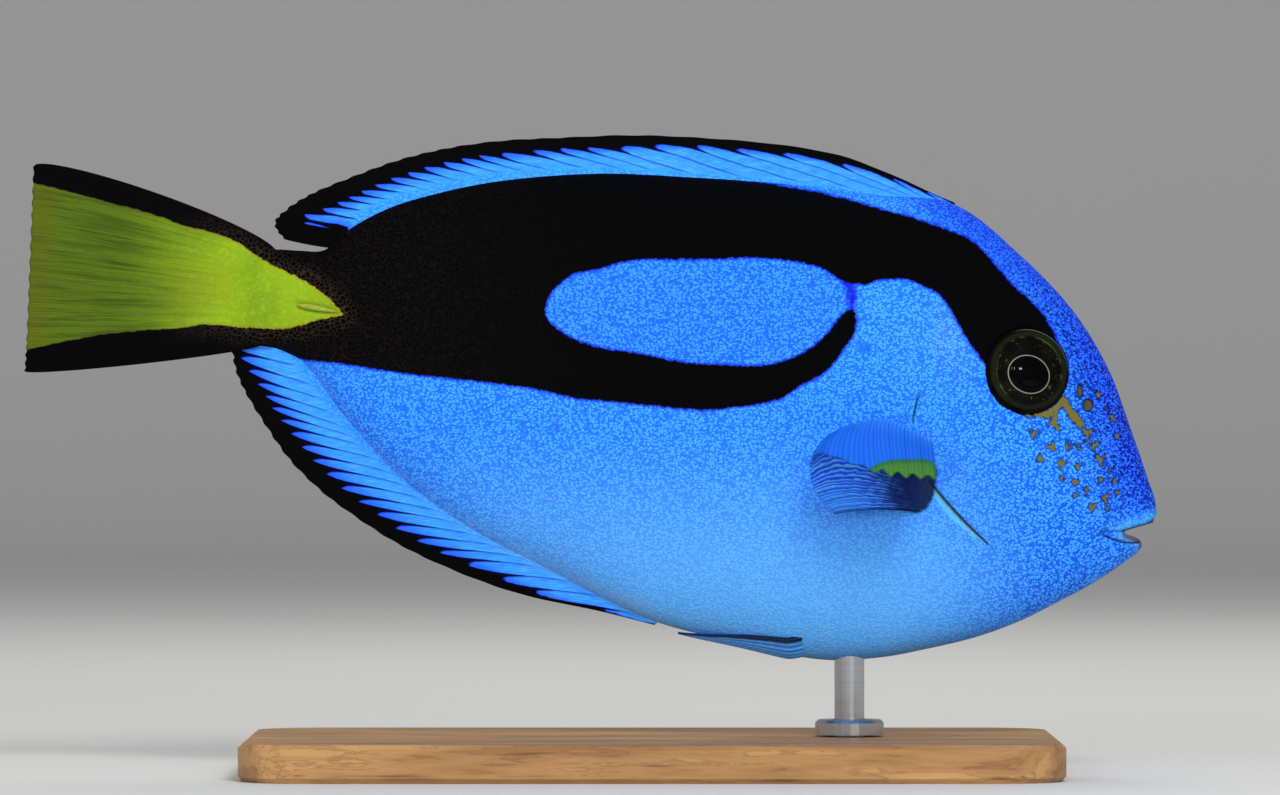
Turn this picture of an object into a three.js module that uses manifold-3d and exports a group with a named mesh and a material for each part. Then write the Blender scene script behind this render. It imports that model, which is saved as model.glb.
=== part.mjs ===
// Regal blue tang: a still, life-size model on a plain display stand.
// Millimetres, +Z up, snout towards +X, the right flank towards -Y.
// The fish is laid out in its own group, where z = 0 is the lowest point of the belly.
// Places in the side view are pairs [x, z], and x = 0 is half way along the fish.

import * as THREE from 'three';
import { ParametricGeometry } from 'three/addons/geometries/ParametricGeometry.js';
import { mergeVertices } from 'three/addons/utils/BufferGeometryUtils.js';
import Module from 'manifold-3d';

const wasm = await Module();
wasm.setup();

// Clearances
const GAP = 0.3;
const FIN_CLEARANCE = 0.35;
const MERGE = 1e-3;
const WIDE = 60;
const CUT_STEPS = 24;
const STATION_STEP = 4;

// Body: sections from the snout to the end of the tail stalk, each
// [x at the back, z at the back, x at the belly, z at the belly, half breadth]
const SECTIONS = [
  [89.7, 21.8, 89.7, 21.8, 0],
  [90.6, 25.0, 88.5, 18.1, 2.9],
  [89.3, 29.3, 86.1, 16.2, 4.3],
  [86.4, 37.8, 80.8, 12.6, 5.8],
  [83.2, 46.4, 75.2, 9.6, 7.5],
  [77.6, 55.8, 68.8, 6.4, 9.2],
  [68.8, 65.1, 61.6, 3.8, 10.8],
  [58.4, 73.1, 53.6, 1.9, 11.8],
  [46.4, 74.6, 46.4, 0.6, 12.2],
  [33.6, 76.3, 36.8, 0.3, 11.9],
  [17.6, 77.6, 24.0, 3.0, 11.0],
  [1.6, 78.4, 10.4, 6.4, 9.8],
  [-14.4, 77.3, -4.8, 13.6, 8.3],
  [-24.0, 75.5, -19.2, 21.0, 7.0],
  [-32.0, 73.1, -30.4, 29.3, 5.9],
  [-38.4, 69.6, -39.2, 38.9, 4.9],
  [-42.4, 65.8, -45.6, 47.4, 4.2],
  [-46.4, 65.7, -49.6, 49.8, 3.8],
  [-50.9, 65.8, -53.1, 50.6, 3.2],
  [-56.0, 63.8, -56.8, 52.3, 2.0],
  [-60.0, 62.2, -60.0, 55.8, 1.0],
  [-60.8, 59.0, -60.8, 59.0, 0],
];
const BODY_ROWS = 46;
const BODY_COLUMNS = 32;
const INNER_ROWS = 30;
const INNER_COLUMNS = 20;
const HEAD_KEEL = 0.88;
const REAR_KEEL = 1.12;
const KEEL_START = 0.2;
const KEEL_END = 0.7;
const NORMAL_STEP = 1.5;
const HALVINGS = 24;

// Cuts that part the body, from the back to the belly
const HEAD_SEAM = [[57.4, 80], [54.4, 57.8], [52.8, 44.2], [50.9, 37.8], [54.7, 33.0],
  [55.4, 28.2], [64.0, 18.6], [66.0, -4]];
const STALK_SEAM = [[-35.0, 82], [-36.4, 57], [-36.8, 30]];
const TAIL_SEAM = [[-51.0, 72], [-54.6, 64.2], [-56.0, 58.6], [-55.6, 53.4], [-54.4, 46]];

// Mouth
const MOUTH_CORNER = [81.6, 20.6];
const MOUTH_NOTCH = [85.3, 20.8];
const MOUTH_SLIT_END = [86.1, 20.9];
const UPPER_LIP_UNDERSIDE = [[88.4, 22.4], [94, 24.0]];
const LOWER_LIP_TOP = [[94, 19.4], [87.6, 19.7]];
const UPPER_LIP_SEAM = [MOUTH_CORNER, [83.7, 23.4], [85.9, 25.4], [94, 27.6]];
const LOWER_LIP_SEAM = [MOUTH_CORNER, [83.0, 18.6], [85.2, 16.6], [87.4, 13.0]];

// Gill covers: the front edge, and a rear edge that lies behind the head seam
const GILL_FRONT = [[51.0, 46.2], [57.8, 44.6], [61.1, 38.6], [63.4, 30.6], [66.4, 17.0]];
const GILL_REAR = [[60.5, 15.0], [51.0, 27.0], [50.5, 33.0], [46.0, 38.0], [48.0, 45.6]];
const GILL_THICKNESS = 1.8;
const GILL_FRONT_STEPS = 12;
const GILL_REAR_STEPS = 8;

// Eyes
const EYE_PLACE = [69.8, 46.1];
const EYE_RADIUS = 6.8;
const EYE_DEPTH = 3.7;
const EYE_SINK = 1.7;
const EYE_COLUMNS = 18;
const EYE_ROWS = 12;

// Nostrils: [x, z, radius]
const NOSTRILS = [[78.1, 43.2, 0.6], [79.4, 41.0, 0.9]];
const NOSTRIL_COLUMNS = 10;
const NOSTRIL_ROWS = 8;

// Folding spine on each side of the tail stalk
const SPINE_HINGE = [-46.7, 57.0];
const SPINE_TIP = [-39.7, 55.8];
const SPINE_RADIUS = 0.6;
const SPINE_STEPS = 10;
const SPINE_FULLEST = 0.7;
const SPINE_TAPER = 0.8;

// Unpaired fins: rays run from the front of the fin to its rear, or from the top of the
// tail fin to its bottom, each [root x, root z, tip x, tip z, bow]
const DORSAL_RAYS = 29;
const DORSAL_ROWS = 4;
const DORSAL = [
  [58.4, 72.6, 58.2, 73.4, 0],
  [46.4, 74.6, 40.0, 81.0, 0.3],
  [27.2, 76.8, 16.0, 83.8, 0.3],
  [4.8, 78.2, -9.6, 83.5, 0],
  [-16.0, 77.1, -29.6, 80.6, 0],
  [-31.2, 73.3, -43.2, 75.2, 0],
  [-37.6, 69.9, -48.9, 72.4, 0],
  [-42.0, 65.9, -50.3, 69.4, -0.8],
];
const ANAL_RAYS = 22;
const ANAL_ROWS = 4;
const ANAL = [
  [10.8, 6.0, 10.0, 5.8, 0],
  [1.6, 11.0, -10.9, 10.7, -0.3],
  [-12.0, 17.0, -30.4, 18.6, -0.5],
  [-25.6, 25.3, -43.5, 27.7, -0.4],
  [-36.0, 34.7, -52.0, 37.9, -0.2],
  [-44.0, 45.3, -56.6, 46.7, 0],
  [-46.9, 48.2, -56.7, 49.3, 0.2],
];
const TAIL_RAYS = 17;
const TAIL_ROWS = 7;
const TAIL = [
  [-50.2, 65.2, -89.1, 79.2, 2.8],
  [-50.6, 62.6, -89.3, 71.4, 1.0],
  [-51.2, 58.0, -89.7, 61.4, 0],
  [-51.9, 53.6, -90.1, 51.6, -0.4],
  [-52.5, 51.0, -90.4, 46.6, -0.8],
];
const ROOT_SINK = 2.4;
const DORSAL_SINK = [0, -ROOT_SINK];
const ANAL_SINK = [0.6 * ROOT_SINK, 0.8 * ROOT_SINK];
const TAIL_SINK = [1.5, 0];
const ROOT_THICKNESS = 1.3;
const TIP_THICKNESS = 0.55;
const TAIL_ROOT_THICKNESS = 2.6;
const RAY_RIDGE = 0.5;
const SHEET_STEP = 1e-3;
const SHEET_EDGE = 0.05;

// Pectoral fins: cupped, with the crest of each ray out from the flank and its tip
// further out. Rays from the leading edge back, each root [x, z], crest and tip [x, z, out]
const PECTORAL_RAYS = 15;
const PECTORAL_ROWS = 8;
const PECTORAL_FLANK = 11.7;
const PECTORAL = [
  { root: [54.1, 30.9], crest: [54.1, 35.4, 6], tip: [54.7, 29.0, 20] },
  { root: [54.0, 29.2], crest: [47.2, 38.4, 8], tip: [46.2, 30.1, 20] },
  { root: [54.0, 27.5], crest: [42.9, 36.0, 9], tip: [36.0, 33.2, 14] },
  { root: [54.2, 25.6], crest: [43.2, 29.2, 5], tip: [35.5, 28.2, 8] },
  { root: [54.6, 23.8], crest: [45.4, 24.4, 3], tip: [38.9, 23.7, 4] },
];
const PECTORAL_ROOT_THICKNESS = 1.5;
const PECTORAL_TIP_THICKNESS = 0.5;

// Pelvic fins: folded blades that lie along the belly, given as shares of the body's
// length and as angles up from the keel
const PELVIC_RAYS = 4;
const PELVIC_ROWS = 12;
const PELVIC_START = 0.43;
const PELVIC_END = 0.511;
const PELVIC_UPPER = 0.42;
const PELVIC_LOWER = 0.08;
const PELVIC_TIP_WIDTH = 0.03;
const PELVIC_ROOT_SHARE = 0.3;
const PELVIC_THICKNESS = 1.1;

// Stand
const BELLY_HEIGHT = 18;
const BASE_LENGTH = 130;
const BASE_WIDTH = 76;
const BASE_THICKNESS = 6;
const BASE_CORNER = 10;
const BASE_BEVEL = 0.8;
const CORNER_STEPS = 6;
const BASE_CENTRE = 10;
const ROD_RADIUS = 2.4;
const ROD_PLACE = 41.6;
const ROD_IN_BODY = 8;
const ROD_IN_BASE = 3;
const COLLAR_RADIUS = 5.5;
const COLLAR_HEIGHT = 2.4;
const COLLAR_BEVEL = 0.5;
const ROUND_SEGMENTS = 24;

// Finishes
const FINISH = {
  blue: { color: 0x2f86f5, roughness: 0.42, metalness: 0 },
  palette: { color: 0x1f5fd8, roughness: 0.42, metalness: 0 },
  violet: { color: 0x3040d8, roughness: 0.4, metalness: 0 },
  yellow: { color: 0x96b41e, roughness: 0.4, metalness: 0 },
  eye: { color: 0x14180e, roughness: 0.08, metalness: 0 },
  spine: { color: 0xd8d4a8, roughness: 0.3, metalness: 0 },
  lip: { color: 0x2a6fe0, roughness: 0.4, metalness: 0 },
  oak: { color: 0x8a6a45, roughness: 0.55, metalness: 0 },
  steel: { color: 0xb8bcc0, roughness: 0.32, metalness: 0.9 },
};

// Solids

function solidOf(geometry) {
  const bare = geometry.clone();
  bare.deleteAttribute('normal');
  bare.deleteAttribute('uv');
  const merged = mergeVertices(bare, MERGE);
  const index = merged.index.array;
  const corners = [];
  for (let i = 0; i < index.length; i += 3) {
    const [a, b, c] = [index[i], index[i + 1], index[i + 2]];
    if (a !== b && b !== c && c !== a) corners.push(a, b, c);
  }
  const build = (triangles) => new wasm.Manifold(new wasm.Mesh({
    numProp: 3,
    vertProperties: merged.attributes.position.array,
    triVerts: new Uint32Array(triangles),
  }));
  const made = build(corners);
  return made.volume() < 0 ? build(corners.reverse()) : made;
}

function geometryOf(solid) {
  const mesh = solid.getMesh();
  const geometry = new THREE.BufferGeometry();
  geometry.setAttribute('position', new THREE.BufferAttribute(mesh.vertProperties, 3));
  geometry.setIndex(new THREE.BufferAttribute(mesh.triVerts, 1));
  geometry.computeVertexNormals();
  return geometry;
}

function middleX(solid) {
  const box = solid.boundingBox();
  return (box.min[0] + box.max[0]) / 2;
}

const bySize = (solid) => solid.decompose().sort((a, b) => b.volume() - a.volume());
const largest = (solid) => bySize(solid)[0];

// Curves and cuts in the side view

const sidePoint = ([x, z]) => new THREE.Vector3(x, 0, z);
const sideCurve = (points) => new THREE.CatmullRomCurve3(points.map(sidePoint));

// A curve whose z runs smoothly through evenly spaced values.
const valueCurve = (values) => sideCurve(values.map((value, i) => [i * STATION_STEP, value]));

// An outline in the side view carried across the fish from one y to the other.
function prism(outline, from = -WIDE, to = WIDE) {
  const shape = new THREE.Shape(outline.map(([x, z]) => new THREE.Vector2(x, z)));
  const geometry = new THREE.ExtrudeGeometry(shape, { depth: to - from, bevelEnabled: false });
  geometry.rotateX(Math.PI / 2);
  geometry.translate(0, to, 0);
  return solidOf(geometry);
}

// A thin upright curtain along a curve through the points, for a parting cut.
function curtain(points, width = GAP, from = -WIDE, to = WIDE, steps = CUT_STEPS) {
  const curve = sideCurve(points);
  const ahead = [];
  const behind = [];
  for (let i = 0; i <= steps; i += 1) {
    const point = curve.getPoint(i / steps);
    const along = curve.getTangent(i / steps).multiplyScalar(width / 2);
    ahead.push([point.x - along.z, point.z + along.x]);
    behind.unshift([point.x + along.z, point.z - along.x]);
  }
  return prism([...ahead, ...behind], from, to);
}

// Body

const backLine = sideCurve(SECTIONS.map(([x, z]) => [x, z]));
const bellyLine = sideCurve(SECTIONS.map(([, , x, z]) => [x, z]));
const breadthLine = valueCurve(SECTIONS.map((section) => section[4]));
const middleLine = sideCurve(SECTIONS.map(([a, b, c, d]) => [(a + c) / 2, (b + d) / 2]));

// The keel grows sharper from the head to the rear.
function keelAt(t) {
  const share = THREE.MathUtils.smoothstep(t, KEEL_START, KEEL_END);
  return THREE.MathUtils.lerp(HEAD_KEEL, REAR_KEEL, share);
}

// A point of the skin: t runs from the snout to the tail, angle from the back (0) down the
// left flank to the belly (pi) and up the right flank, and grow moves the skin outwards.
function bodyPoint(t, angle, grow = 0) {
  const back = backLine.getPoint(t);
  const belly = bellyLine.getPoint(t);
  const middle = back.clone().add(belly).multiplyScalar(0.5);
  const upright = back.clone().sub(middle);
  const half = upright.length();
  const open = half > MERGE ? (half + grow) / half : 0;
  const breadth = Math.max(breadthLine.getPoint(t).z, 0);
  const wide = breadth > MERGE ? Math.max(breadth + grow, 0) : 0;
  const sine = Math.sin(angle);
  const side = wide * Math.sign(sine) * Math.abs(sine) ** keelAt(t);
  return middle.addScaledVector(upright, Math.cos(angle) * open).setY(side);
}

// Rows are spaced half by length along the middle line and half by section, so that they
// lie closer round the snout.
function bodySolid(grow = 0, columns = BODY_COLUMNS, rows = BODY_ROWS) {
  const skin = (u, v, target) => {
    const t = (middleLine.getUtoTmapping(v) + v) / 2;
    target.copy(bodyPoint(t, u * 2 * Math.PI, grow));
  };
  return solidOf(new ParametricGeometry(skin, columns, rows));
}

// The share t of the body's length whose section passes through a place in the side view.
function shareAt([x, z]) {
  let low = 0;
  let high = 1;
  for (let i = 0; i < HALVINGS; i += 1) {
    const t = (low + high) / 2;
    const back = backLine.getPoint(t);
    const belly = bellyLine.getPoint(t);
    const turn = (back.x - belly.x) * (z - belly.z) - (back.z - belly.z) * (x - belly.x);
    if (turn > 0) low = t;
    else high = t;
  }
  return (low + high) / 2;
}

// The skin over a place in the side view, on the right (side -1) or the left (side 1).
function skinAt(place, side) {
  const t = shareAt(place);
  const back = backLine.getPoint(t);
  const middle = back.clone().add(bellyLine.getPoint(t)).multiplyScalar(0.5);
  const upright = back.sub(middle);
  const share = sidePoint(place).sub(middle).dot(upright) / upright.lengthSq();
  const angle = Math.acos(THREE.MathUtils.clamp(share, -1, 1));
  return bodyPoint(t, side * angle);
}

function skinNormal([x, z], side) {
  const along = skinAt([x + NORMAL_STEP, z], side).sub(skinAt([x - NORMAL_STEP, z], side));
  const up = skinAt([x, z + NORMAL_STEP], side).sub(skinAt([x, z - NORMAL_STEP], side));
  return along.cross(up).normalize().multiplyScalar(-side);
}

// Places a geometry whose own +Z is its outward axis on the skin.
function onSkin(geometry, place, side, sink) {
  const normal = skinNormal(place, side);
  const centre = skinAt(place, side).addScaledVector(normal, -sink);
  const turn = new THREE.Quaternion().setFromUnitVectors(new THREE.Vector3(0, 0, 1), normal);
  geometry.applyQuaternion(turn);
  geometry.translate(centre.x, centre.y, centre.z);
  return solidOf(geometry);
}

// Fins

// A sheet with a thickness: both faces come from one grid over the middle surface and are
// split into triangles alike, and a rim closes them. Normals are read a little inside the
// sheet's edges, where the rays may bend sharply.
class SheetGeometry extends THREE.BufferGeometry {
  constructor(middle, thickness, columns, rows) {
    super();
    const inside = (share) => THREE.MathUtils.clamp(share, SHEET_EDGE, 1 - SHEET_EDGE);
    const vertices = [];
    for (const face of [1, -1]) {
      for (let j = 0; j <= rows; j += 1) {
        for (let i = 0; i <= columns; i += 1) {
          const [u, v] = [i / columns, j / rows];
          const [p, q] = [inside(u), inside(v)];
          const across = middle(p + SHEET_STEP, q).sub(middle(p - SHEET_STEP, q));
          const along = middle(p, q + SHEET_STEP).sub(middle(p, q - SHEET_STEP));
          const normal = across.cross(along).normalize();
          const point = middle(u, v).addScaledVector(normal, face * thickness(v, i) / 2);
          vertices.push(...point.toArray());
        }
      }
    }
    const far = (columns + 1) * (rows + 1);
    const at = (i, j) => j * (columns + 1) + i;
    const corners = [];
    for (let j = 0; j < rows; j += 1) {
      for (let i = 0; i < columns; i += 1) {
        const [a, b, c, d] = [at(i, j), at(i + 1, j), at(i + 1, j + 1), at(i, j + 1)];
        corners.push(a, b, c, a, c, d);
        corners.push(far + a, far + c, far + b, far + a, far + d, far + c);
      }
    }
    const rim = [];
    for (let i = 0; i < columns; i += 1) rim.push(at(i, 0));
    for (let j = 0; j < rows; j += 1) rim.push(at(columns, j));
    for (let i = columns; i > 0; i -= 1) rim.push(at(i, rows));
    for (let j = rows; j > 0; j -= 1) rim.push(at(0, j));
    rim.forEach((a, k) => {
      const b = rim[(k + 1) % rim.length];
      corners.push(a, far + a, far + b, a, far + b, b);
    });
    this.setIndex(corners);
    this.setAttribute('position', new THREE.Float32BufferAttribute(vertices, 3));
  }
}

// The thickness of a rayed fin: rays lie on the even columns and fade towards their tips.
function rayed(root, tip, ridge) {
  return (v, column) => {
    const membrane = THREE.MathUtils.lerp(root, tip, Math.sqrt(v));
    return membrane + (column % 2 ? 0 : ridge * (1 - v) * Math.sqrt(v));
  };
}

// A fin in the middle plane whose rays run from their roots to their tips, bowed upwards.
// Its first row lies inside the body, moved from the roots by the sink.
function unpairedFin(stations, rays, rows, sink, thickness) {
  const roots = sideCurve(stations.map(([x, z]) => [x, z]));
  const tips = sideCurve(stations.map(([, , x, z]) => [x, z]));
  const bows = valueCurve(stations.map((station) => station[4]));
  const rootShare = 1 / rows;
  const middle = (u, v) => {
    const root = roots.getPoint(u);
    if (v < rootShare) return root.addScaledVector(sidePoint(sink), 1 - v / rootShare);
    const share = (v - rootShare) / (1 - rootShare);
    const bow = bows.getPoint(u).z * 2 * Math.sqrt(share * (1 - share));
    return root.lerp(tips.getPoint(u), share).add(new THREE.Vector3(0, 0, bow));
  };
  return solidOf(new SheetGeometry(middle, thickness, 2 * (rays - 1), rows));
}

// A ray through its root, its crest half way and its tip.
const arch = (root, crest, tip) => new THREE.QuadraticBezierCurve3(
  root,
  crest.clone().multiplyScalar(2).addScaledVector(root, -0.5).addScaledVector(tip, -0.5),
  tip,
);

function pectoralFin(side) {
  const point = ([x, z, out]) => new THREE.Vector3(x, side * (PECTORAL_FLANK + out), z);
  const through = (points) => new THREE.CatmullRomCurve3(points.map(point));
  const roots = through(PECTORAL.map(({ root }) => [...root, -ROOT_SINK]));
  const crests = through(PECTORAL.map(({ crest }) => crest));
  const tips = through(PECTORAL.map(({ tip }) => tip));
  const middle = (u, v) => arch(roots.getPoint(u), crests.getPoint(u), tips.getPoint(u)).getPoint(v);
  const thickness = rayed(PECTORAL_ROOT_THICKNESS, PECTORAL_TIP_THICKNESS, RAY_RIDGE);
  return solidOf(new SheetGeometry(middle, thickness, 2 * (PECTORAL_RAYS - 1), PECTORAL_ROWS));
}

function pelvicFin(side) {
  const clear = FIN_CLEARANCE + GAP / 2 + PELVIC_THICKNESS / 2;
  const middle = (u, v) => {
    const upper = THREE.MathUtils.lerp(PELVIC_UPPER, PELVIC_LOWER + PELVIC_TIP_WIDTH, v * v);
    const angle = Math.PI - THREE.MathUtils.lerp(upper, PELVIC_LOWER, u);
    const t = THREE.MathUtils.lerp(PELVIC_START, PELVIC_END, v);
    const out = THREE.MathUtils.smoothstep(v, 0, PELVIC_ROOT_SHARE);
    const grow = THREE.MathUtils.lerp(-ROOT_SINK / 2, clear, out);
    return bodyPoint(t, side * angle, grow);
  };
  const thickness = rayed(PELVIC_THICKNESS, TIP_THICKNESS, RAY_RIDGE / 2);
  return solidOf(new SheetGeometry(middle, thickness, 2 * (PELVIC_RAYS - 1), PELVIC_ROWS));
}

// Eyes, nostrils and tail spines

function eyeball(side, extra = 0) {
  const full = EYE_RADIUS / Math.sqrt(1 - (EYE_SINK / EYE_DEPTH) ** 2);
  const ball = new THREE.SphereGeometry(1, EYE_COLUMNS, EYE_ROWS);
  ball.rotateX(Math.PI / 2);
  ball.scale(full + extra, full + extra, EYE_DEPTH + extra);
  return onSkin(ball, EYE_PLACE, side, EYE_SINK);
}

function nostril([x, z, radius], side) {
  const pit = new THREE.SphereGeometry(radius, NOSTRIL_COLUMNS, NOSTRIL_ROWS);
  return onSkin(pit, [x, z], side, 0);
}

// A lancet that tapers to both ends, half sunk in the skin and parallel to it.
function tailSpine(side, extra = 0) {
  const hinge = skinAt(SPINE_HINGE, side);
  const tip = skinAt(SPINE_TIP, side);
  const along = tip.clone().sub(hinge);
  const half = along.length() / 2 + extra;
  const profile = [];
  for (let i = 0; i <= SPINE_STEPS; i += 1) {
    const share = i / SPINE_STEPS;
    const full = Math.sin(Math.PI * share ** SPINE_FULLEST) ** SPINE_TAPER;
    const radius = i % SPINE_STEPS ? full * (SPINE_RADIUS + extra) : 0;
    profile.push(new THREE.Vector2(radius, (2 * share - 1) * half));
  }
  const lancet = new THREE.LatheGeometry(profile, SPINE_STEPS);
  const middle = hinge.clone().add(tip).multiplyScalar(0.5);
  lancet.applyQuaternion(
    new THREE.Quaternion().setFromUnitVectors(new THREE.Vector3(0, 1, 0), along.normalize()),
  );
  lancet.translate(middle.x, middle.y, middle.z);
  return solidOf(lancet);
}

// Stand

const baseTop = BASE_THICKNESS - BELLY_HEIGHT;
const rodLow = baseTop - ROD_IN_BASE;

// An upright round bar at the rod's place.
function bar(radius, low, high) {
  const geometry = new THREE.CylinderGeometry(radius, radius, high - low, ROUND_SEGMENTS);
  geometry.rotateX(Math.PI / 2);
  geometry.translate(ROD_PLACE, 0, (low + high) / 2);
  return solidOf(geometry);
}

function standBase() {
  const [halfLength, halfWidth] = [BASE_LENGTH / 2 - BASE_BEVEL, BASE_WIDTH / 2 - BASE_BEVEL];
  const shape = new THREE.Shape();
  shape.moveTo(-halfLength + BASE_CORNER, -halfWidth);
  const corners = [[1, -1, -1], [1, 1, 0], [-1, 1, 1], [-1, -1, 2]];
  for (const [x, y, turn] of corners) {
    shape.absarc(
      x * (halfLength - BASE_CORNER), y * (halfWidth - BASE_CORNER), BASE_CORNER,
      turn * Math.PI / 2, (turn + 1) * Math.PI / 2, false,
    );
  }
  const geometry = new THREE.ExtrudeGeometry(shape, {
    depth: BASE_THICKNESS - 2 * BASE_BEVEL,
    bevelThickness: BASE_BEVEL,
    bevelSize: BASE_BEVEL,
    bevelSegments: 1,
    curveSegments: CORNER_STEPS,
  });
  geometry.translate(BASE_CENTRE, 0, BASE_BEVEL - BELLY_HEIGHT);
  return solidOf(geometry).subtract(bar(ROD_RADIUS + GAP, rodLow - GAP, baseTop + GAP));
}

function standCollar() {
  const low = baseTop + GAP;
  const high = low + COLLAR_HEIGHT;
  const inner = ROD_RADIUS + GAP;
  const profile = [[inner, low], [COLLAR_RADIUS, low], [COLLAR_RADIUS, high - COLLAR_BEVEL],
    [COLLAR_RADIUS - COLLAR_BEVEL, high], [inner, high], [inner, low]];
  const points = profile.map(([radius, z]) => new THREE.Vector2(radius, z));
  const ring = new THREE.LatheGeometry(points, ROUND_SEGMENTS);
  ring.rotateX(Math.PI / 2);
  ring.translate(ROD_PLACE, 0, 0);
  return solidOf(ring);
}

// Assembly

const fish = new THREE.Group();
fish.name = 'regal_blue_tang';
fish.position.z = BELLY_HEIGHT;

function addNode(name, solid, finish) {
  const material = new THREE.MeshStandardMaterial(FINISH[finish]);
  const mesh = new THREE.Mesh(geometryOf(largest(solid)), material);
  mesh.name = name;
  fish.add(mesh);
}

const sides = [['right', -1], ['left', 1]];
const clearBody = bodySolid(FIN_CLEARANCE);

// The body and the tail fin are one skin, parted by thin cuts.
const tailThickness = rayed(TAIL_ROOT_THICKNESS, TIP_THICKNESS, RAY_RIDGE);
const tailFan = unpairedFin(TAIL, TAIL_RAYS, TAIL_ROWS, TAIL_SINK, tailThickness);
const parted = bodySolid()
  .add(tailFan)
  .subtract(curtain(HEAD_SEAM))
  .subtract(curtain(STALK_SEAM))
  .subtract(curtain(TAIL_SEAM));
const blocks = bySize(parted).slice(0, 4).sort((a, b) => middleX(b) - middleX(a));
const [headBlock, trunkBlock, stalkBlock, tailBlock] = blocks;

// Head, with the mouth open, the eyes in their sockets and a gill cover on each side
const mouth = prism([MOUTH_NOTCH, ...UPPER_LIP_UNDERSIDE, ...LOWER_LIP_TOP])
  .add(curtain([MOUTH_CORNER, MOUTH_SLIT_END], GAP, -WIDE, WIDE, 1));
const jaws = headBlock
  .subtract(mouth)
  .subtract(curtain(UPPER_LIP_SEAM))
  .subtract(curtain(LOWER_LIP_SEAM));
const [skull, ...lips] = bySize(jaws).slice(0, 3);
lips.sort((a, b) => b.boundingBox().max[2] - a.boundingBox().max[2]);
let head = skull;
const gillEdges = [
  ...sideCurve(GILL_FRONT).getPoints(GILL_FRONT_STEPS),
  ...sideCurve(GILL_REAR).getPoints(GILL_REAR_STEPS),
];
const gillOutline = gillEdges.map(({ x, z }) => [x, z]);
const underGill = bodySolid(-GILL_THICKNESS, INNER_COLUMNS, INNER_ROWS);
const belowGap = bodySolid(-GILL_THICKNESS - GAP, INNER_COLUMNS, INNER_ROWS);
for (const [name, side] of sides) {
  const reach = side < 0 ? [-WIDE, 0] : [0, WIDE];
  const region = prism(gillOutline, ...reach);
  const edge = curtain(GILL_FRONT, 2 * GAP, ...reach);
  addNode(`gill_cover_${name}`, skull.intersect(region).subtract(underGill), 'blue');
  head = head.subtract(region.add(edge).subtract(belowGap));
  head = head.subtract(eyeball(side, GAP));
  for (const pit of NOSTRILS) head = head.subtract(nostril(pit, side));
}
addNode('head', head, 'blue');
addNode('upper_lip', lips[0], 'lip');
addNode('lower_lip', lips[1], 'lip');
for (const [name, side] of sides) addNode(`eye_${name}`, eyeball(side), 'eye');

// Trunk, tail stalk and tail fin
const rodHole = bar(ROD_RADIUS + GAP, baseTop, ROD_IN_BODY + GAP);
addNode('trunk', trunkBlock.subtract(rodHole), 'palette');
let stalk = stalkBlock;
for (const [, side] of sides) stalk = stalk.subtract(tailSpine(side, GAP));
addNode('tail_stalk', stalk, 'palette');
for (const [name, side] of sides) addNode(`tail_spine_${name}`, tailSpine(side), 'spine');
addNode('tail_fin', tailBlock, 'yellow');

// Fins
const finThickness = rayed(ROOT_THICKNESS, TIP_THICKNESS, RAY_RIDGE);
const dorsalFin = unpairedFin(DORSAL, DORSAL_RAYS, DORSAL_ROWS, DORSAL_SINK, finThickness);
const analFin = unpairedFin(ANAL, ANAL_RAYS, ANAL_ROWS, ANAL_SINK, finThickness);
addNode('dorsal_fin', dorsalFin.subtract(clearBody), 'violet');
addNode('anal_fin', analFin.subtract(clearBody), 'violet');
for (const [name, side] of sides) {
  addNode(`pectoral_fin_${name}`, pectoralFin(side).subtract(clearBody), 'blue');
  addNode(`pelvic_fin_${name}`, pelvicFin(side).subtract(clearBody), 'violet');
}

// Stand
addNode('stand_base', standBase(), 'oak');
addNode('stand_collar', standCollar(), 'steel');
addNode('stand_rod', bar(ROD_RADIUS, rodLow, ROD_IN_BODY), 'steel');

export default fish;
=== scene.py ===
"""Looks of a regal blue tang, a still life-size model on a plain display stand.

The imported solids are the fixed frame. One skin stands for the head, gill covers, lips, trunk and
tail stalk. Each fin, eye and tail spine is a finer piece in the place of its solid. Sizes are in
millimetres in the fish's own frame: x runs towards the snout, z is 0 at the lowest point of the
belly, and the right flank faces -y. They become metres only where a mesh is written.
"""

import logging
import math
from collections.abc import Mapping
from dataclasses import dataclass
from enum import Enum

import bpy
import numpy as np
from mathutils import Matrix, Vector


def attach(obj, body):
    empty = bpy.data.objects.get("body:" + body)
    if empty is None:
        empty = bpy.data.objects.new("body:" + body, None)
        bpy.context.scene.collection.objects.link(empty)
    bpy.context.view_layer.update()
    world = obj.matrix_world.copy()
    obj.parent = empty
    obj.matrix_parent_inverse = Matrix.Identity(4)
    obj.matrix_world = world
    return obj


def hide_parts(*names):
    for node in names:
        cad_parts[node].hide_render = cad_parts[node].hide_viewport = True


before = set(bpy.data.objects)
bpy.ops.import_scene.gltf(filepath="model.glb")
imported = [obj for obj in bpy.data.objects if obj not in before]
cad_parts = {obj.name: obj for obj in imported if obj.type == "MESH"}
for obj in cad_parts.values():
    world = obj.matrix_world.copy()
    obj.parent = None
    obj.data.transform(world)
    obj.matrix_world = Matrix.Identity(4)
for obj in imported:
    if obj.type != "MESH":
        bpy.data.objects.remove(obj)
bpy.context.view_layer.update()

log = logging.getLogger("blue_tang")

MM = 0.001
BELLY_HEIGHT = 18.0
CLEAR_OF_ZERO = (0.2, 0.0, 0.0)

FAR_OFF = 99.0
WET_SKIN = {"Coat_Roughness": 0.25, "IOR": 1.4, "Specular_IOR_Level": 0.06}

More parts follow.
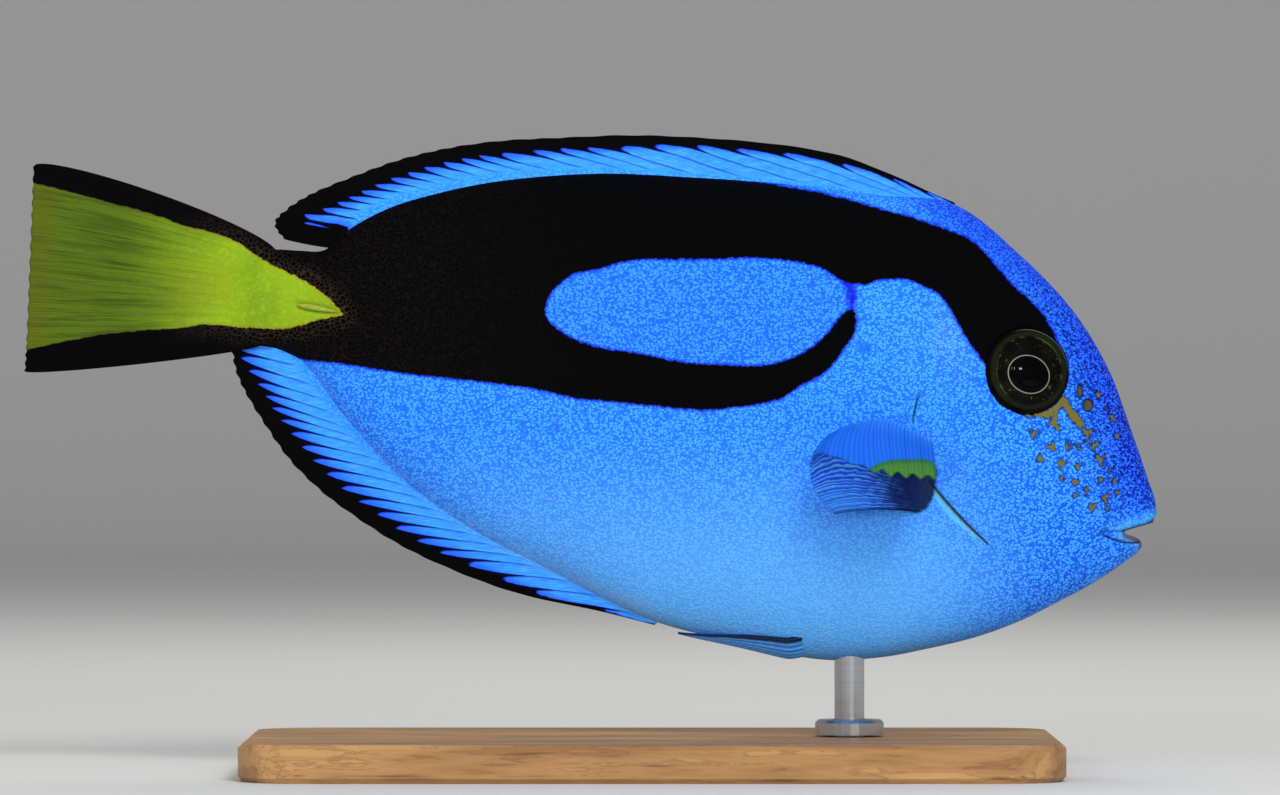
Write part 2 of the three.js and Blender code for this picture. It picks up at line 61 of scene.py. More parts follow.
# Scales to the metre on the blue and on the black, and the clouds that leave some pits out
BLUE_SCALES = 1950.0
BLACK_SCALES = 1350.0
PIT_CLOUDS = 2100.0

# In the side view: x and z, places in a row, and an upright oval's middle and half axes
Place = tuple[float, float]
Line = tuple[Place, ...]
Oval = tuple[float, float, float, float]

EYE_PLACE: Place = (69.7, 46.4)
EYE_RADIUS = 6.8
SPINE_LINE: Line = ((-46.7, 57.0), (-39.7, 55.8))

# Side-view outlines of the markings, in millimetres
PALETTE_TOP: Line = (
    (73.0, 54.2), (72.0, 55.8), (69.6, 58.1), (67.2, 60.2), (65.6, 62.2), (63.2, 65.0),
    (60.8, 67.2), (59.2, 68.0), (52.8, 70.4), (46.4, 72.2), (40.0, 74.1), (33.6, 75.5),
    (24.0, 77.0), (17.6, 77.4), (8.0, 77.9), (1.6, 78.4), (-4.8, 77.9), (-11.2, 77.4),
    (-17.6, 76.6), (-24.0, 75.2), (-30.4, 73.3), (-36.0, 71.0), (-38.9, 69.8), (-40.0, 69.1),
)
PALETTE_REAR: Line = (
    (-41.6, 69.8), (-46.4, 71.4), (-62.4, 81.8), (-91.2, 84.0), (-93.0, 84.0), (-93.0, 42.0),
    (-91.2, 42.0), (-70.0, 44.0), (-58.0, 48.5), (-55.2, 50.9),
)
PALETTE_ARM: Line = (
    (-51.2, 50.1), (-46.4, 48.5), (-38.4, 47.5), (-30.4, 46.2), (-17.6, 44.8), (-8.0, 43.5),
    (-2.4, 42.2), (1.6, 41.8), (9.6, 41.0), (17.6, 40.3), (24.0, 40.8), (27.2, 41.3),
    (30.4, 42.1), (33.6, 44.2), (36.8, 45.8), (39.2, 48.2), (40.8, 50.6), (41.9, 52.2),
    (42.4, 54.6), (42.0, 56.4),
)
BLUE_OVAL: Line = (
    (41.6, 56.5), (40.0, 55.0), (38.4, 53.0), (36.0, 50.6), (33.6, 49.0), (30.4, 47.8),
    (27.2, 47.2), (17.6, 47.5), (14.4, 47.8), (8.0, 49.1), (1.6, 50.1), (-2.4, 51.4),
    (-5.4, 53.3), (-6.7, 54.6), (-7.0, 56.2), (-6.4, 58.4), (-4.8, 60.3), (-2.4, 61.9),
    (1.6, 62.7), (4.8, 63.7), (8.0, 64.2), (17.6, 64.2), (25.6, 64.5), (30.4, 64.2),
    (33.6, 63.7), (36.8, 62.9), (39.2, 61.4), (40.8, 60.5),
)
PALETTE_HEAD: Line = (
    (42.4, 60.3), (44.0, 60.3), (46.4, 61.0), (48.8, 61.1), (51.2, 60.8), (53.6, 59.8),
    (55.2, 58.9), (56.8, 57.3), (58.4, 54.6), (60.0, 51.7), (61.6, 49.3), (63.0, 47.4),
    (65.6, 46.1), (70.4, 46.1), (74.4, 50.6), (74.0, 52.4),
)
TAIL_YELLOW: Line = (
    (-39.2, 55.4), (-40.8, 57.3), (-43.2, 59.4), (-46.4, 61.4), (-49.6, 62.9), (-52.5, 64.5),
    (-56.0, 66.9), (-58.4, 68.0), (-61.6, 69.0), (-64.0, 69.4), (-67.2, 70.6), (-70.4, 71.7),
    (-78.4, 73.8), (-84.8, 75.5), (-89.1, 76.6), (-92.8, 77.6), (-92.8, 49.4), (-90.1, 49.8),
    (-84.8, 51.0), (-78.4, 52.2), (-75.2, 52.6), (-70.4, 53.0), (-65.6, 53.3), (-62.4, 53.8),
    (-59.2, 53.8), (-56.0, 53.4), (-52.8, 53.3), (-49.6, 53.1), (-46.4, 53.6), (-43.2, 54.6),
    (-41.6, 54.9),
)
DORSAL_BLUE: Line = (
    (60.0, 72.6), (56.0, 74.4), (52.8, 75.6), (46.4, 78.1), (40.0, 79.8), (33.6, 81.1),
    (25.6, 81.9), (17.6, 82.6), (9.6, 82.7), (4.8, 82.4), (-4.8, 82.1), (-11.2, 81.6),
    (-17.6, 81.0), (-24.0, 79.7), (-30.4, 77.8), (-34.4, 76.2), (-38.4, 74.4), (-43.2, 72.2),
    (-45.9, 71.2), (-45.6, 70.0), (-42.4, 69.3), (-40.2, 69.3), (-38.6, 68.0), (-37.0, 60.0),
    (60.0, 60.0),
)
ANAL_BLUE: Line = (
    (12.0, 5.0), (1.6, 8.3), (-4.8, 9.6), (-10.9, 11.7), (-16.8, 14.2), (-21.6, 16.2),
    (-25.6, 18.1), (-30.1, 20.6), (-32.8, 22.6), (-35.5, 24.5), (-39.2, 27.2), (-41.2, 29.0),
    (-43.6, 31.4), (-45.9, 33.9), (-47.9, 36.6), (-50.5, 40.0), (-53.0, 44.2), (-55.3, 47.6),
    (-56.4, 50.4), (-40.0, 56.0), (12.0, 20.0),
)

# Olive marks on the cheek: x, z, reach of the longest arm and its turn in degrees
CHEEK_STARS: tuple[tuple[float, float, float, float], ...] = (
    (73.9, 38.0, 1.15, 80), (70.7, 36.5, 0.85, 20), (79.3, 36.5, 0.95, 150), (73.5, 34.3, 0.85, 70),
    (76.3, 34.6, 0.75, 120), (78.0, 34.4, 0.45, 40), (80.3, 34.6, 0.8, 150), (71.7, 32.4, 0.55, 80),
    (75.2, 31.8, 0.8, 10), (77.8, 31.4, 0.55, 30), (81.4, 32.4, 0.85, 40), (75.2, 29.3, 0.5, 90),
    (77.4, 28.7, 0.5, 150), (79.0, 27.4, 0.5, 40), (77.4, 26.6, 0.3, 0), (82.1, 26.2, 0.65, 50),
    (80.1, 24.7, 0.55, 30), (82.4, 40.2, 0.4, 60), (83.4, 38.8, 0.45, 100), (84.0, 36.0, 0.4, 40),
    (82.9, 30.7, 0.45, 120), (81.4, 29.0, 0.4, 20), (83.6, 29.0, 0.4, 80), (81.2, 42.7, 0.35, 45),
    (84.0, 27.1, 0.3, 0), (82.5, 24.6, 0.3, 60),
)
CHEEK_STROKES: tuple[tuple[float, float, float, float, float], ...] = (
    (75.4, 41.8, 76.6, 39.9, 0.5), (76.6, 39.9, 78.1, 38.1, 0.62),
    (69.6, 39.6, 73.0, 39.5, 0.5), (73.0, 39.5, 75.2, 41.2, 0.5),
)
PECTORAL_PATCH: Line = (
    (43.9, 31.2), (45.0, 31.9), (46.6, 32.4), (48.6, 32.6), (51.5, 32.65), (53.4, 32.5),
    (54.4, 31.9), (54.9, 30.9), (55.0, 29.6), (55.0, 26.0), (44.0, 27.0), (43.4, 30.2),
)
FIN_BASE_STREAK: Line = (
    (10.4, 6.6), (8.0, 8.6), (1.6, 11.0), (-4.8, 13.8), (-11.2, 16.8), (-17.6, 20.4),
    (-24.0, 24.2), (-30.4, 29.0), (-35.2, 33.8), (-39.2, 38.6), (-43.2, 44.2), (-46.9, 48.2),
)


class Flank(Enum):
    """The two flanks of the fish, by the sign of y."""

    RIGHT = -1
    LEFT = 1

    @property
    def word(self) -> str:
        """The flank's name as it stands in the names of nodes."""
        return self.name.lower()


def tint(code: str) -> tuple[float, float, float, float]:
    """Reads a colour code: each part over 12.92 if dark, else the power 2.4 of a shifted share.

    Args:
        code: A colour such as #3A7BFF.

    Returns:
        Linear red, green, blue and alpha.
    """
    parts = [int(code[i : i + 2], 16) / 255 for i in (1, 3, 5)]
    linear = [p / 12.92 if p <= 0.04045 else ((p + 0.055) / 1.055) ** 2.4 for p in parts]
    return (*linear, 1.0)


def ease(value: np.ndarray, low: float, high: float) -> np.ndarray:
    """A smooth step, 3s^2 - 2s^3 with s the share of the way from low to high, held to 0..1."""
    share = np.clip((value - low) / (high - low), 0, 1)
    return share * share * (3 - 2 * share)


def hump(value: np.ndarray, width: float) -> np.ndarray:
    """A bell, e to the power of minus (value / width) squared."""
    return np.exp(-((value / width) ** 2))


def spline(points: np.ndarray, share: np.ndarray) -> np.ndarray:
    """Points on a centripetal Catmull-Rom curve.

    Each span is a cubic through its two ends, with tangents worked out from the neighbours over
    knot gaps that are the square root of the distances.

    Args:
        points: The points that the curve passes, one row each.
        share: Where on the curve, 0 at the first point and 1 at the last, any shape.

    Returns:
        The places, of share's shape plus one axis for the coordinates.
    """
    points = np.asarray(points, float)
    place = np.asarray(share, float) * (len(points) - 1)
    low = np.clip(place.astype(int), 0, len(points) - 2)
    w = (place - low)[..., None]
    ends = np.vstack([2 * points[0] - points[1], points, 2 * points[-1] - points[-2]])
    p0, p1, p2, p3 = (ends[low + k] for k in range(4))

    def gap(a: np.ndarray, b: np.ndarray) -> np.ndarray:
        """The square root of the distance between two rows of points."""
        return np.sum((a - b) ** 2, axis=-1, keepdims=True) ** 0.25

    d1 = gap(p1, p2)
    d1 = np.where(d1 < 1e-4, 1, d1)
    d0, d2 = gap(p0, p1), gap(p2, p3)
    d0, d2 = np.where(d0 < 1e-4, d1, d0), np.where(d2 < 1e-4, d1, d2)
    t1 = ((p1 - p0) / d0 - (p2 - p0) / (d0 + d1) + (p2 - p1) / d1) * d1
    t2 = ((p2 - p1) / d1 - (p3 - p1) / (d1 + d2) + (p3 - p2) / d2) * d1
    return p1 + t1 * w + (3 * (p2 - p1) - 2 * t1 - t2) * w**2 + (2 * (p1 - p2) + t1 + t2) * w**3


def smooth_line(line: Line, closed: bool = False, steps: int = 4) -> np.ndarray:
    """The places of a finer line through a line's, with so many steps for each gap."""
    points = np.array(line + (line[:1] if closed else ()))
    return spline(points, np.linspace(0, 1, steps * (len(points) - 1) + 1))


def off_ray(phase: np.ndarray) -> np.ndarray:
    """How far each number is from the nearest whole one, where a ray lies."""
    return np.abs(phase - np.round(phase))


def distance_to(line: np.ndarray, x: np.ndarray, z: np.ndarray) -> np.ndarray:
    """The distance from each place to a line: the least of the distances to its spans.

    The nearest point of a span is where a perpendicular meets it, held to the span's ends.

    Args:
        line: The line's places, one row each.
        x: The x of the places asked about.
        z: Their z.

    Returns:
        The distances.
    """
    best = np.full(x.shape, np.inf)
    for (ax, az), (bx, bz) in zip(line[:-1], line[1:], strict=True):
        dx, dz = bx - ax, bz - az
        along = np.clip(((x - ax) * dx + (z - az) * dz) / max(dx * dx + dz * dz, 1e-9), 0, 1)
        best = np.minimum(best, (x - ax - along * dx) ** 2 + (z - az - along * dz) ** 2)
    return np.sqrt(best)


def inside(line: np.ndarray, x: np.ndarray, z: np.ndarray) -> np.ndarray:
    """Whether a ray to one side of each place crosses a closed line an odd number of times.

    Args:
        line: The line's places, the last of them the same as the first.
        x: The x of the places asked about.
        z: Their z.

    Returns:
        True for the places inside.
    """
    odd = np.zeros(x.shape, bool)
    for (ax, az), (bx, bz) in zip(line[:-1], line[1:], strict=True):
        if az != bz:
            odd ^= ((az > z) != (bz > z)) & (x < ax + (z - az) * (bx - ax) / (bz - az))
    return odd


def depth_in(line: np.ndarray, x: np.ndarray, z: np.ndarray) -> np.ndarray:
    """The distance to a closed line, counted positive inside it and negative outside."""
    return np.where(inside(line, x, z), 1, -1) * distance_to(line, x, z)


def side_of(line: np.ndarray, x: np.ndarray, z: np.ndarray) -> np.ndarray:
    """The distance to an open line from top to bottom, positive ahead, towards the snout.

    Args:
        line: The line's places, one row each.
        x: The x of the places asked about.
        z: Their z.

    Returns:
        The signed distances.
    """
    ordered = line[np.argsort(line[:, 1])]
    ahead = x > np.interp(z, ordered[:, 1], ordered[:, 0])
    return np.where(ahead, 1, -1) * distance_to(line, x, z)


def past_oval(oval: Oval, x: np.ndarray, z: np.ndarray) -> np.ndarray:
    """The distance past an oval's rim, about: the share past it times the smaller half axis."""
    middle_x, middle_z, wide, high = oval
    return (np.hypot((x - middle_x) / wide, (z - middle_z) / high) - 1) * min(wide, high)


def belly_share(x: np.ndarray, z: np.ndarray) -> np.ndarray:
    """How far each place belongs to the pale belly, 0 to 1, a product of smooth steps.
    The paleness is partly the belly's own tone and partly painted light on the lower flank.
    """
    return (1 - ease(z, 6, 40)) * ease(x, -44, -10) * (1 - ease(x, 46, 76))


def palette_line() -> np.ndarray:
    """Joins the closed outline of the black palette, with the blue oval as a bay in it.

    Returns:
        The outline's places.
    """
    return np.vstack(
        [
            smooth_line(PALETTE_TOP + PALETTE_REAR[:3]),
            np.array(PALETTE_REAR[3:]),
            smooth_line(PALETTE_ARM),
            smooth_line(BLUE_OVAL),
            smooth_line(PALETTE_HEAD),
            np.array(PALETTE_TOP[:1]),
        ]
    )


def yellow_line() -> np.ndarray:
    """The closed outline of the yellow wedge of the tail."""
    return smooth_line(TAIL_YELLOW, closed=True, steps=3)


def write_mesh(
    name: str,
    points: np.ndarray,
    faces: list[np.ndarray],
    material: bpy.types.Material,
    layers: Mapping[str, np.ndarray] | None = None,
    flip: bool = False,
) -> bpy.types.Object:
    """Puts arrays into a mesh object at the origin.

    Args:
        name: The piece's name.
        points: Places in millimetres in the fish's frame, one row each.
        faces: Arrays of corner numbers, each of triangles or of quads.
        material: The piece's finish.
        layers: Values to keep with the vertices, by name.
        flip: Whether the corners are to run the other way round each face.

    Returns:
        The object, smooth shaded and linked to the scene.
    """
    world = (points + [0, 0, BELLY_HEIGHT]) * MM
    sizes = np.concatenate([np.full(len(f), f.shape[1]) for f in faces])
    corners = np.concatenate([(f[:, ::-1] if flip else f).ravel() for f in faces])
    mesh = bpy.data.meshes.new(name)
    mesh.vertices.add(len(world))
    mesh.vertices.foreach_set("co", world.astype(np.float32).ravel())
    mesh.loops.add(len(corners))
    mesh.loops.foreach_set("vertex_index", corners.astype(np.int32))
    mesh.polygons.add(len(sizes))
    starts = np.concatenate([[0], np.cumsum(sizes)[:-1]])
    mesh.polygons.foreach_set("loop_start", starts.astype(np.int32))
    mesh.update(calc_edges=True)
    mesh.validate()
    mesh.polygons.foreach_set("use_smooth", np.ones(len(mesh.polygons), bool))
    for layer, values in (layers or {}).items():
        attribute = mesh.attributes.new(layer, "FLOAT", "POINT")
        attribute.data.foreach_set("value", values.astype(np.float32).ravel())
    mesh.materials.append(material)
    piece = bpy.data.objects.new(name, mesh)
    bpy.context.scene.collection.objects.link(piece)
    return piece


def write_rings(
    name: str,
    grid: np.ndarray,
    poles: np.ndarray,
    material: bpy.types.Material,
    layers: Mapping[str, np.ndarray] | None = None,
    flip: bool = False,
) -> bpy.types.Object:
    """Puts closed rings between two poles into a mesh object.

    Vertex 0 is the first pole, then come the rings in order, and the last vertex is the other
    pole. Each ring's vertex is joined to its next and to the next ring's as a quad, and the poles
    close the ends with fans.

    Args:
        name: The piece's name.
        grid: The rings' places, one row for each ring.
        poles: The two poles' places.
        material: The piece's finish.
        layers: Values to keep with the vertices, by name, in the vertices' order.
        flip: Whether the corners are to run the other way round each face.

    Returns:
        The object.
    """
    rows, columns = grid.shape[:2]
    i, j = np.meshgrid(np.arange(columns), np.arange(rows - 1))
    k = (i + 1) % columns
    quads = 1 + np.stack(
        [j * columns + i, j * columns + k, (j + 1) * columns + k, (j + 1) * columns + i], axis=-1
    )
    ring = np.arange(columns)
    after = (ring + 1) % columns
    first = np.stack([np.zeros_like(ring), 1 + after, 1 + ring], axis=-1)
    low = 1 + (rows - 1) * columns
    last = np.stack([np.full_like(ring, 1 + rows * columns), low + ring, low + after], axis=-1)
    points = np.vstack([poles[:1], grid.reshape(-1, 3), poles[1:]])
    faces = [quads.reshape(-1, 4), np.vstack([first, last])]
    return write_mesh(name, points, faces, material, layers, flip)


def write_sheet(
    name: str,
    sides: list[np.ndarray],
    material: bpy.types.Material,
    layers: Mapping[str, np.ndarray],
    flip: bool = False,
) -> bpy.types.Object:
    """Puts two grids, back to back and joined by a rim of quads, into a mesh object.

    Args:
        name: The piece's name.
        sides: The places of the two grids.
        material: The piece's finish.
        layers: Values to keep with the vertices of both grids alike, by name.
        flip: Whether the corners are to run the other way round each face.

    Returns:
        The object.
    """
    rows, columns = sides[0].shape[:2]
    far = rows * columns
    number = np.arange(far).reshape(rows, columns)
    a, b, c, d = number[:-1, :-1], number[:-1, 1:], number[1:, 1:], number[1:, :-1]
    front = np.stack([a, b, c, d], axis=-1).reshape(-1, 4)
    back = far + front[:, ::-1]
    rim = np.concatenate([number[0, :-1], number[:-1, -1], number[-1, :0:-1], number[:0:-1, 0]])
    after = np.roll(rim, -1)
    side = np.stack([rim, far + rim, far + after, after], axis=-1)
    points = np.concatenate(sides).reshape(-1, 3)
    doubled = {key: np.concatenate([value, value]) for key, value in layers.items()}
    return write_mesh(name, points, [np.vstack([front, back, side])], material, doubled, flip)


def rings_round(
    start: np.ndarray, axis: np.ndarray, along: np.ndarray, radii: np.ndarray, columns: int
) -> tuple[np.ndarray, np.ndarray, np.ndarray]:
    """Rings round an axis.

    Args:
        start: The place that the axis starts from.
        axis: Its direction, of length 1.
        along: How far along the axis each ring lies.
        radii: The rings' radii.
        columns: How many places in a ring.

    Returns:
        The rings' places, a level direction across the axis and the one upwards across it.
    """
    across = np.cross(axis, [0, 0, 1.0])
    across /= np.linalg.norm(across)
    up = np.cross(across, axis)
    turn = np.linspace(0, 2 * math.pi, columns, endpoint=False)
    ring = np.cos(turn)[:, None] * across + np.sin(turn)[:, None] * up
    grid = start + (along[:, None] * axis)[:, None] + radii[:, None, None] * ring
    return grid, across, up


def grid_normals(points: np.ndarray, wrap: bool = False) -> np.ndarray:
    """Normals of a grid: the cross product of the differences along its columns and its rows.

    Args:
        points: The grid's places.
        wrap: Whether its last column joins the first.

    Returns:
        A direction of length 1 for each place.
    """
    if wrap:
        ring = np.concatenate([points[:, -1:], points, points[:, :1]], axis=1)
        across = (ring[:, 2:] - ring[:, :-2]) / 2
    else:
        across = np.gradient(points, axis=1)
    normal = np.cross(across, np.gradient(points, axis=0))
    return normal / np.maximum(np.linalg.norm(normal, axis=-1, keepdims=True), 1e-12)


@dataclass(frozen=True)
class BodyForm:
    """The body as a loft: sections that run from the back to the belly, with a half breadth.

    Each section is (x at the back, z at the back, x at the belly, z at the belly, half breadth).
    """

    sections: tuple[tuple[float, float, float, float, float], ...] = (
        (89.7, 21.8, 89.7, 21.8, 0), (90.6, 25.0, 88.5, 18.1, 2.9), (89.3, 29.3, 86.1, 16.2, 4.3),
        (86.4, 37.8, 80.8, 12.6, 5.8), (83.2, 46.4, 75.2, 9.6, 7.5), (77.6, 55.8, 68.8, 6.4, 9.2),
        (68.8, 65.1, 61.6, 3.8, 10.8), (58.4, 73.1, 53.6, 1.9, 11.8), (46.4, 74.6, 46.4, 0.6, 12.2),
        (33.6, 76.3, 36.8, 0.3, 11.9), (17.6, 77.6, 24.0, 3.0, 11.0), (1.6, 78.4, 10.4, 6.4, 9.8),
        (-14.4, 77.3, -4.8, 13.6, 8.3), (-24.0, 75.5, -19.2, 21.0, 7.0),
        (-32.0, 73.1, -30.4, 29.3, 5.9), (-38.4, 69.6, -39.2, 38.9, 4.9),
        (-42.4, 65.8, -45.6, 47.4, 4.2), (-46.4, 65.7, -49.6, 49.8, 3.8),
        (-50.9, 65.8, -53.1, 50.6, 3.2), (-56.0, 63.8, -56.8, 52.3, 2.0),
        (-60.0, 62.2, -60.0, 55.8, 1.0), (-60.8, 59.0, -60.8, 59.0, 0),
    )
    head_keel: float = 0.88
    rear_keel: float = 1.12
    station_step: float = 4.0
    normal_reach: float = 1.5

    def lines(self, t: np.ndarray) -> tuple[np.ndarray, np.ndarray, np.ndarray]:
        """Reads the body's lines from curves through the sections.

        Args:
            t: Shares of the body's length, 0 at the snout.

        Returns:
            Places on the back line, places on the belly line, and half breadths.
        """
        table = np.array(self.sections)
        steps = np.arange(len(table)) * self.station_step
        back = spline(table[:, :2], t)
        belly = spline(table[:, 2:4], t)
        breadth = spline(np.stack([steps, table[:, 4]], axis=-1), t)[..., 1]
        return back, belly, np.maximum(breadth, 0)

    def surface(self, t: np.ndarray, angle: np.ndarray, grow: float = 0.0) -> np.ndarray:
        """Places on the body's skin.

        A section is an oval: from its middle the place goes towards the back by the cosine of
        the angle times half the section's height, and sideways by the half breadth times the
        sine's size to the power of the keel, which sharpens the edges from head to rear.

        Args:
            t: Shares of the body's length, 0 at the snout.
            angle: The way round, 0 at the back, towards the left flank first.
            grow: How far the surface is moved out.

        Returns:
            The places, of the arrays' joint shape plus one axis of x, y and z.
        """
        back, belly, breadth = self.lines(t)
        middle = (back + belly) / 2
        half = (back - belly) / 2
        size = np.maximum(np.linalg.norm(half, axis=-1), 1e-6)
        open_by = np.where(size > 1e-3, (size + grow) / size, 0)
        wide = np.where(breadth > 1e-3, np.maximum(breadth + grow, 0), 0)
        keel = self.head_keel + (self.rear_keel - self.head_keel) * ease(t, 0.2, 0.7)
        side = wide * np.sign(np.sin(angle)) * np.abs(np.sin(angle)) ** keel
        flat = middle + half * (np.cos(angle) * open_by)[..., None]
        return np.stack([flat[..., 0], side, flat[..., 1]], axis=-1)

    def share_at(self, x: np.ndarray, z: np.ndarray) -> np.ndarray:
        """Finds the section that passes through each place, by halving the range 24 times.

        Args:
            x: The x of the places in the side view.
            z: Their z.

        Returns:
            The sections' shares t of the body's length.
        """
        low, high = np.zeros(np.shape(x)), np.ones(np.shape(x))
        for _ in range(24):
            t = (low + high) / 2
            back, belly, _ = self.lines(t)
            turn = (back[..., 0] - belly[..., 0]) * (z - belly[..., 1])
            turn -= (back[..., 1] - belly[..., 1]) * (x - belly[..., 0])
            low, high = np.where(turn > 0, t, low), np.where(turn > 0, high, t)
        return (low + high) / 2

    def on_skin(self, x: np.ndarray, z: np.ndarray, flank: Flank) -> np.ndarray:
        """Finds the skin over side-view places: the section's share, then the angle in it.

        Args:
            x: The x of the places in the side view.
            z: Their z.
            flank: The side of the body.

        Returns:
            The places on the skin.
        """
        x, z = np.asarray(x, float), np.asarray(z, float)
        t = self.share_at(x, z)
        back, belly, _ = self.lines(t)
        middle, half = (back + belly) / 2, (back - belly) / 2
        offset = np.stack([x, z], axis=-1) - middle
        share = np.sum(offset * half, axis=-1) / np.sum(half * half, axis=-1)
        return self.surface(t, flank.value * np.arccos(np.clip(share, -1, 1)))

    def normal_at(self, place: Place, flank: Flank) -> np.ndarray:
        """The outward normal over a side-view place, from the skin a little way off each side.

        Args:
            place: The place in the side view.
            flank: The side of the body.

        Returns:
            The direction, of length 1.
        """
        x = place[0] + self.normal_reach * np.array([1, -1, 0, 0])
        z = place[1] + self.normal_reach * np.array([0, 0, 1, -1])
        p = self.on_skin(x, z, flank)
        normal = np.cross(p[0] - p[1], p[2] - p[3])
        return -flank.value * normal / np.linalg.norm(normal)


BODY = BodyForm()


class Wire:
    """A number on its way between nodes, with the arithmetic that adds Math nodes."""

    def __init__(self, paint: "Paint", socket: bpy.types.NodeSocket) -> None:
        """Keeps the socket that the number leaves and the paint that it belongs to."""
        self.paint = paint
        self.socket = socket

    def _math(self, operation: str, *values: "Wire | float") -> "Wire":
        """One Math node on the values in order."""
        return self.paint.node("ShaderNodeMath", {"operation": operation}, dict(enumerate(values)))

    def __add__(self, other: "Wire | float") -> "Wire":
        """self + other."""
        return self._math("ADD", self, other)

    def __radd__(self, other: float) -> "Wire":
        """other + self."""
        return self._math("ADD", other, self)

    def __sub__(self, other: "Wire | float") -> "Wire":
        """self - other."""
        return self._math("SUBTRACT", self, other)

    def __rsub__(self, other: float) -> "Wire":
        """other - self."""
        return self._math("SUBTRACT", other, self)

    def __mul__(self, other: "Wire | float") -> "Wire":
        """self * other."""
        return self._math("MULTIPLY", self, other)

    def __rmul__(self, other: float) -> "Wire":
        """other * self."""
        return self._math("MULTIPLY", other, self)

    def __truediv__(self, other: "Wire | float") -> "Wire":
        """self / other."""
        return self._math("DIVIDE", self, other)

    def __pow__(self, other: "Wire | float") -> "Wire":
        """self to the power of other."""
        return self._math("POWER", self, other)

    def __abs__(self) -> "Wire":
        """The size of self."""
        return self._math("ABSOLUTE", self)

    def fraction(self) -> "Wire":
        """What is left of self above the whole number below it."""
        return self._math("FRACT", self)

    def off_half(self) -> "Wire":
        """How far self's fraction is from a half."""
        return abs(self.fraction() - 0.5)

    def least(self, other: "Wire | float") -> "Wire":
        """The smaller of the two."""
        return self._math("MINIMUM", self, other)

    def most(self, other: "Wire | float") -> "Wire":
        """The larger of the two."""
        return self._math("MAXIMUM", self, other)

    def step(self, low: float, high: float) -> "Wire":
        """A smooth step from 0 at low to 1 at high."""
        values = {"Value": self, "From Min": low, "From Max": high}
        return self.paint.node("ShaderNodeMapRange", {"interpolation_type": "SMOOTHSTEP"}, values)

    def fade(self, low: float, high: float) -> "Wire":
        """A smooth step from 1 at low to 0 at high."""
        return 1 - self.step(low, high)


Value = Wire | float | tuple | str


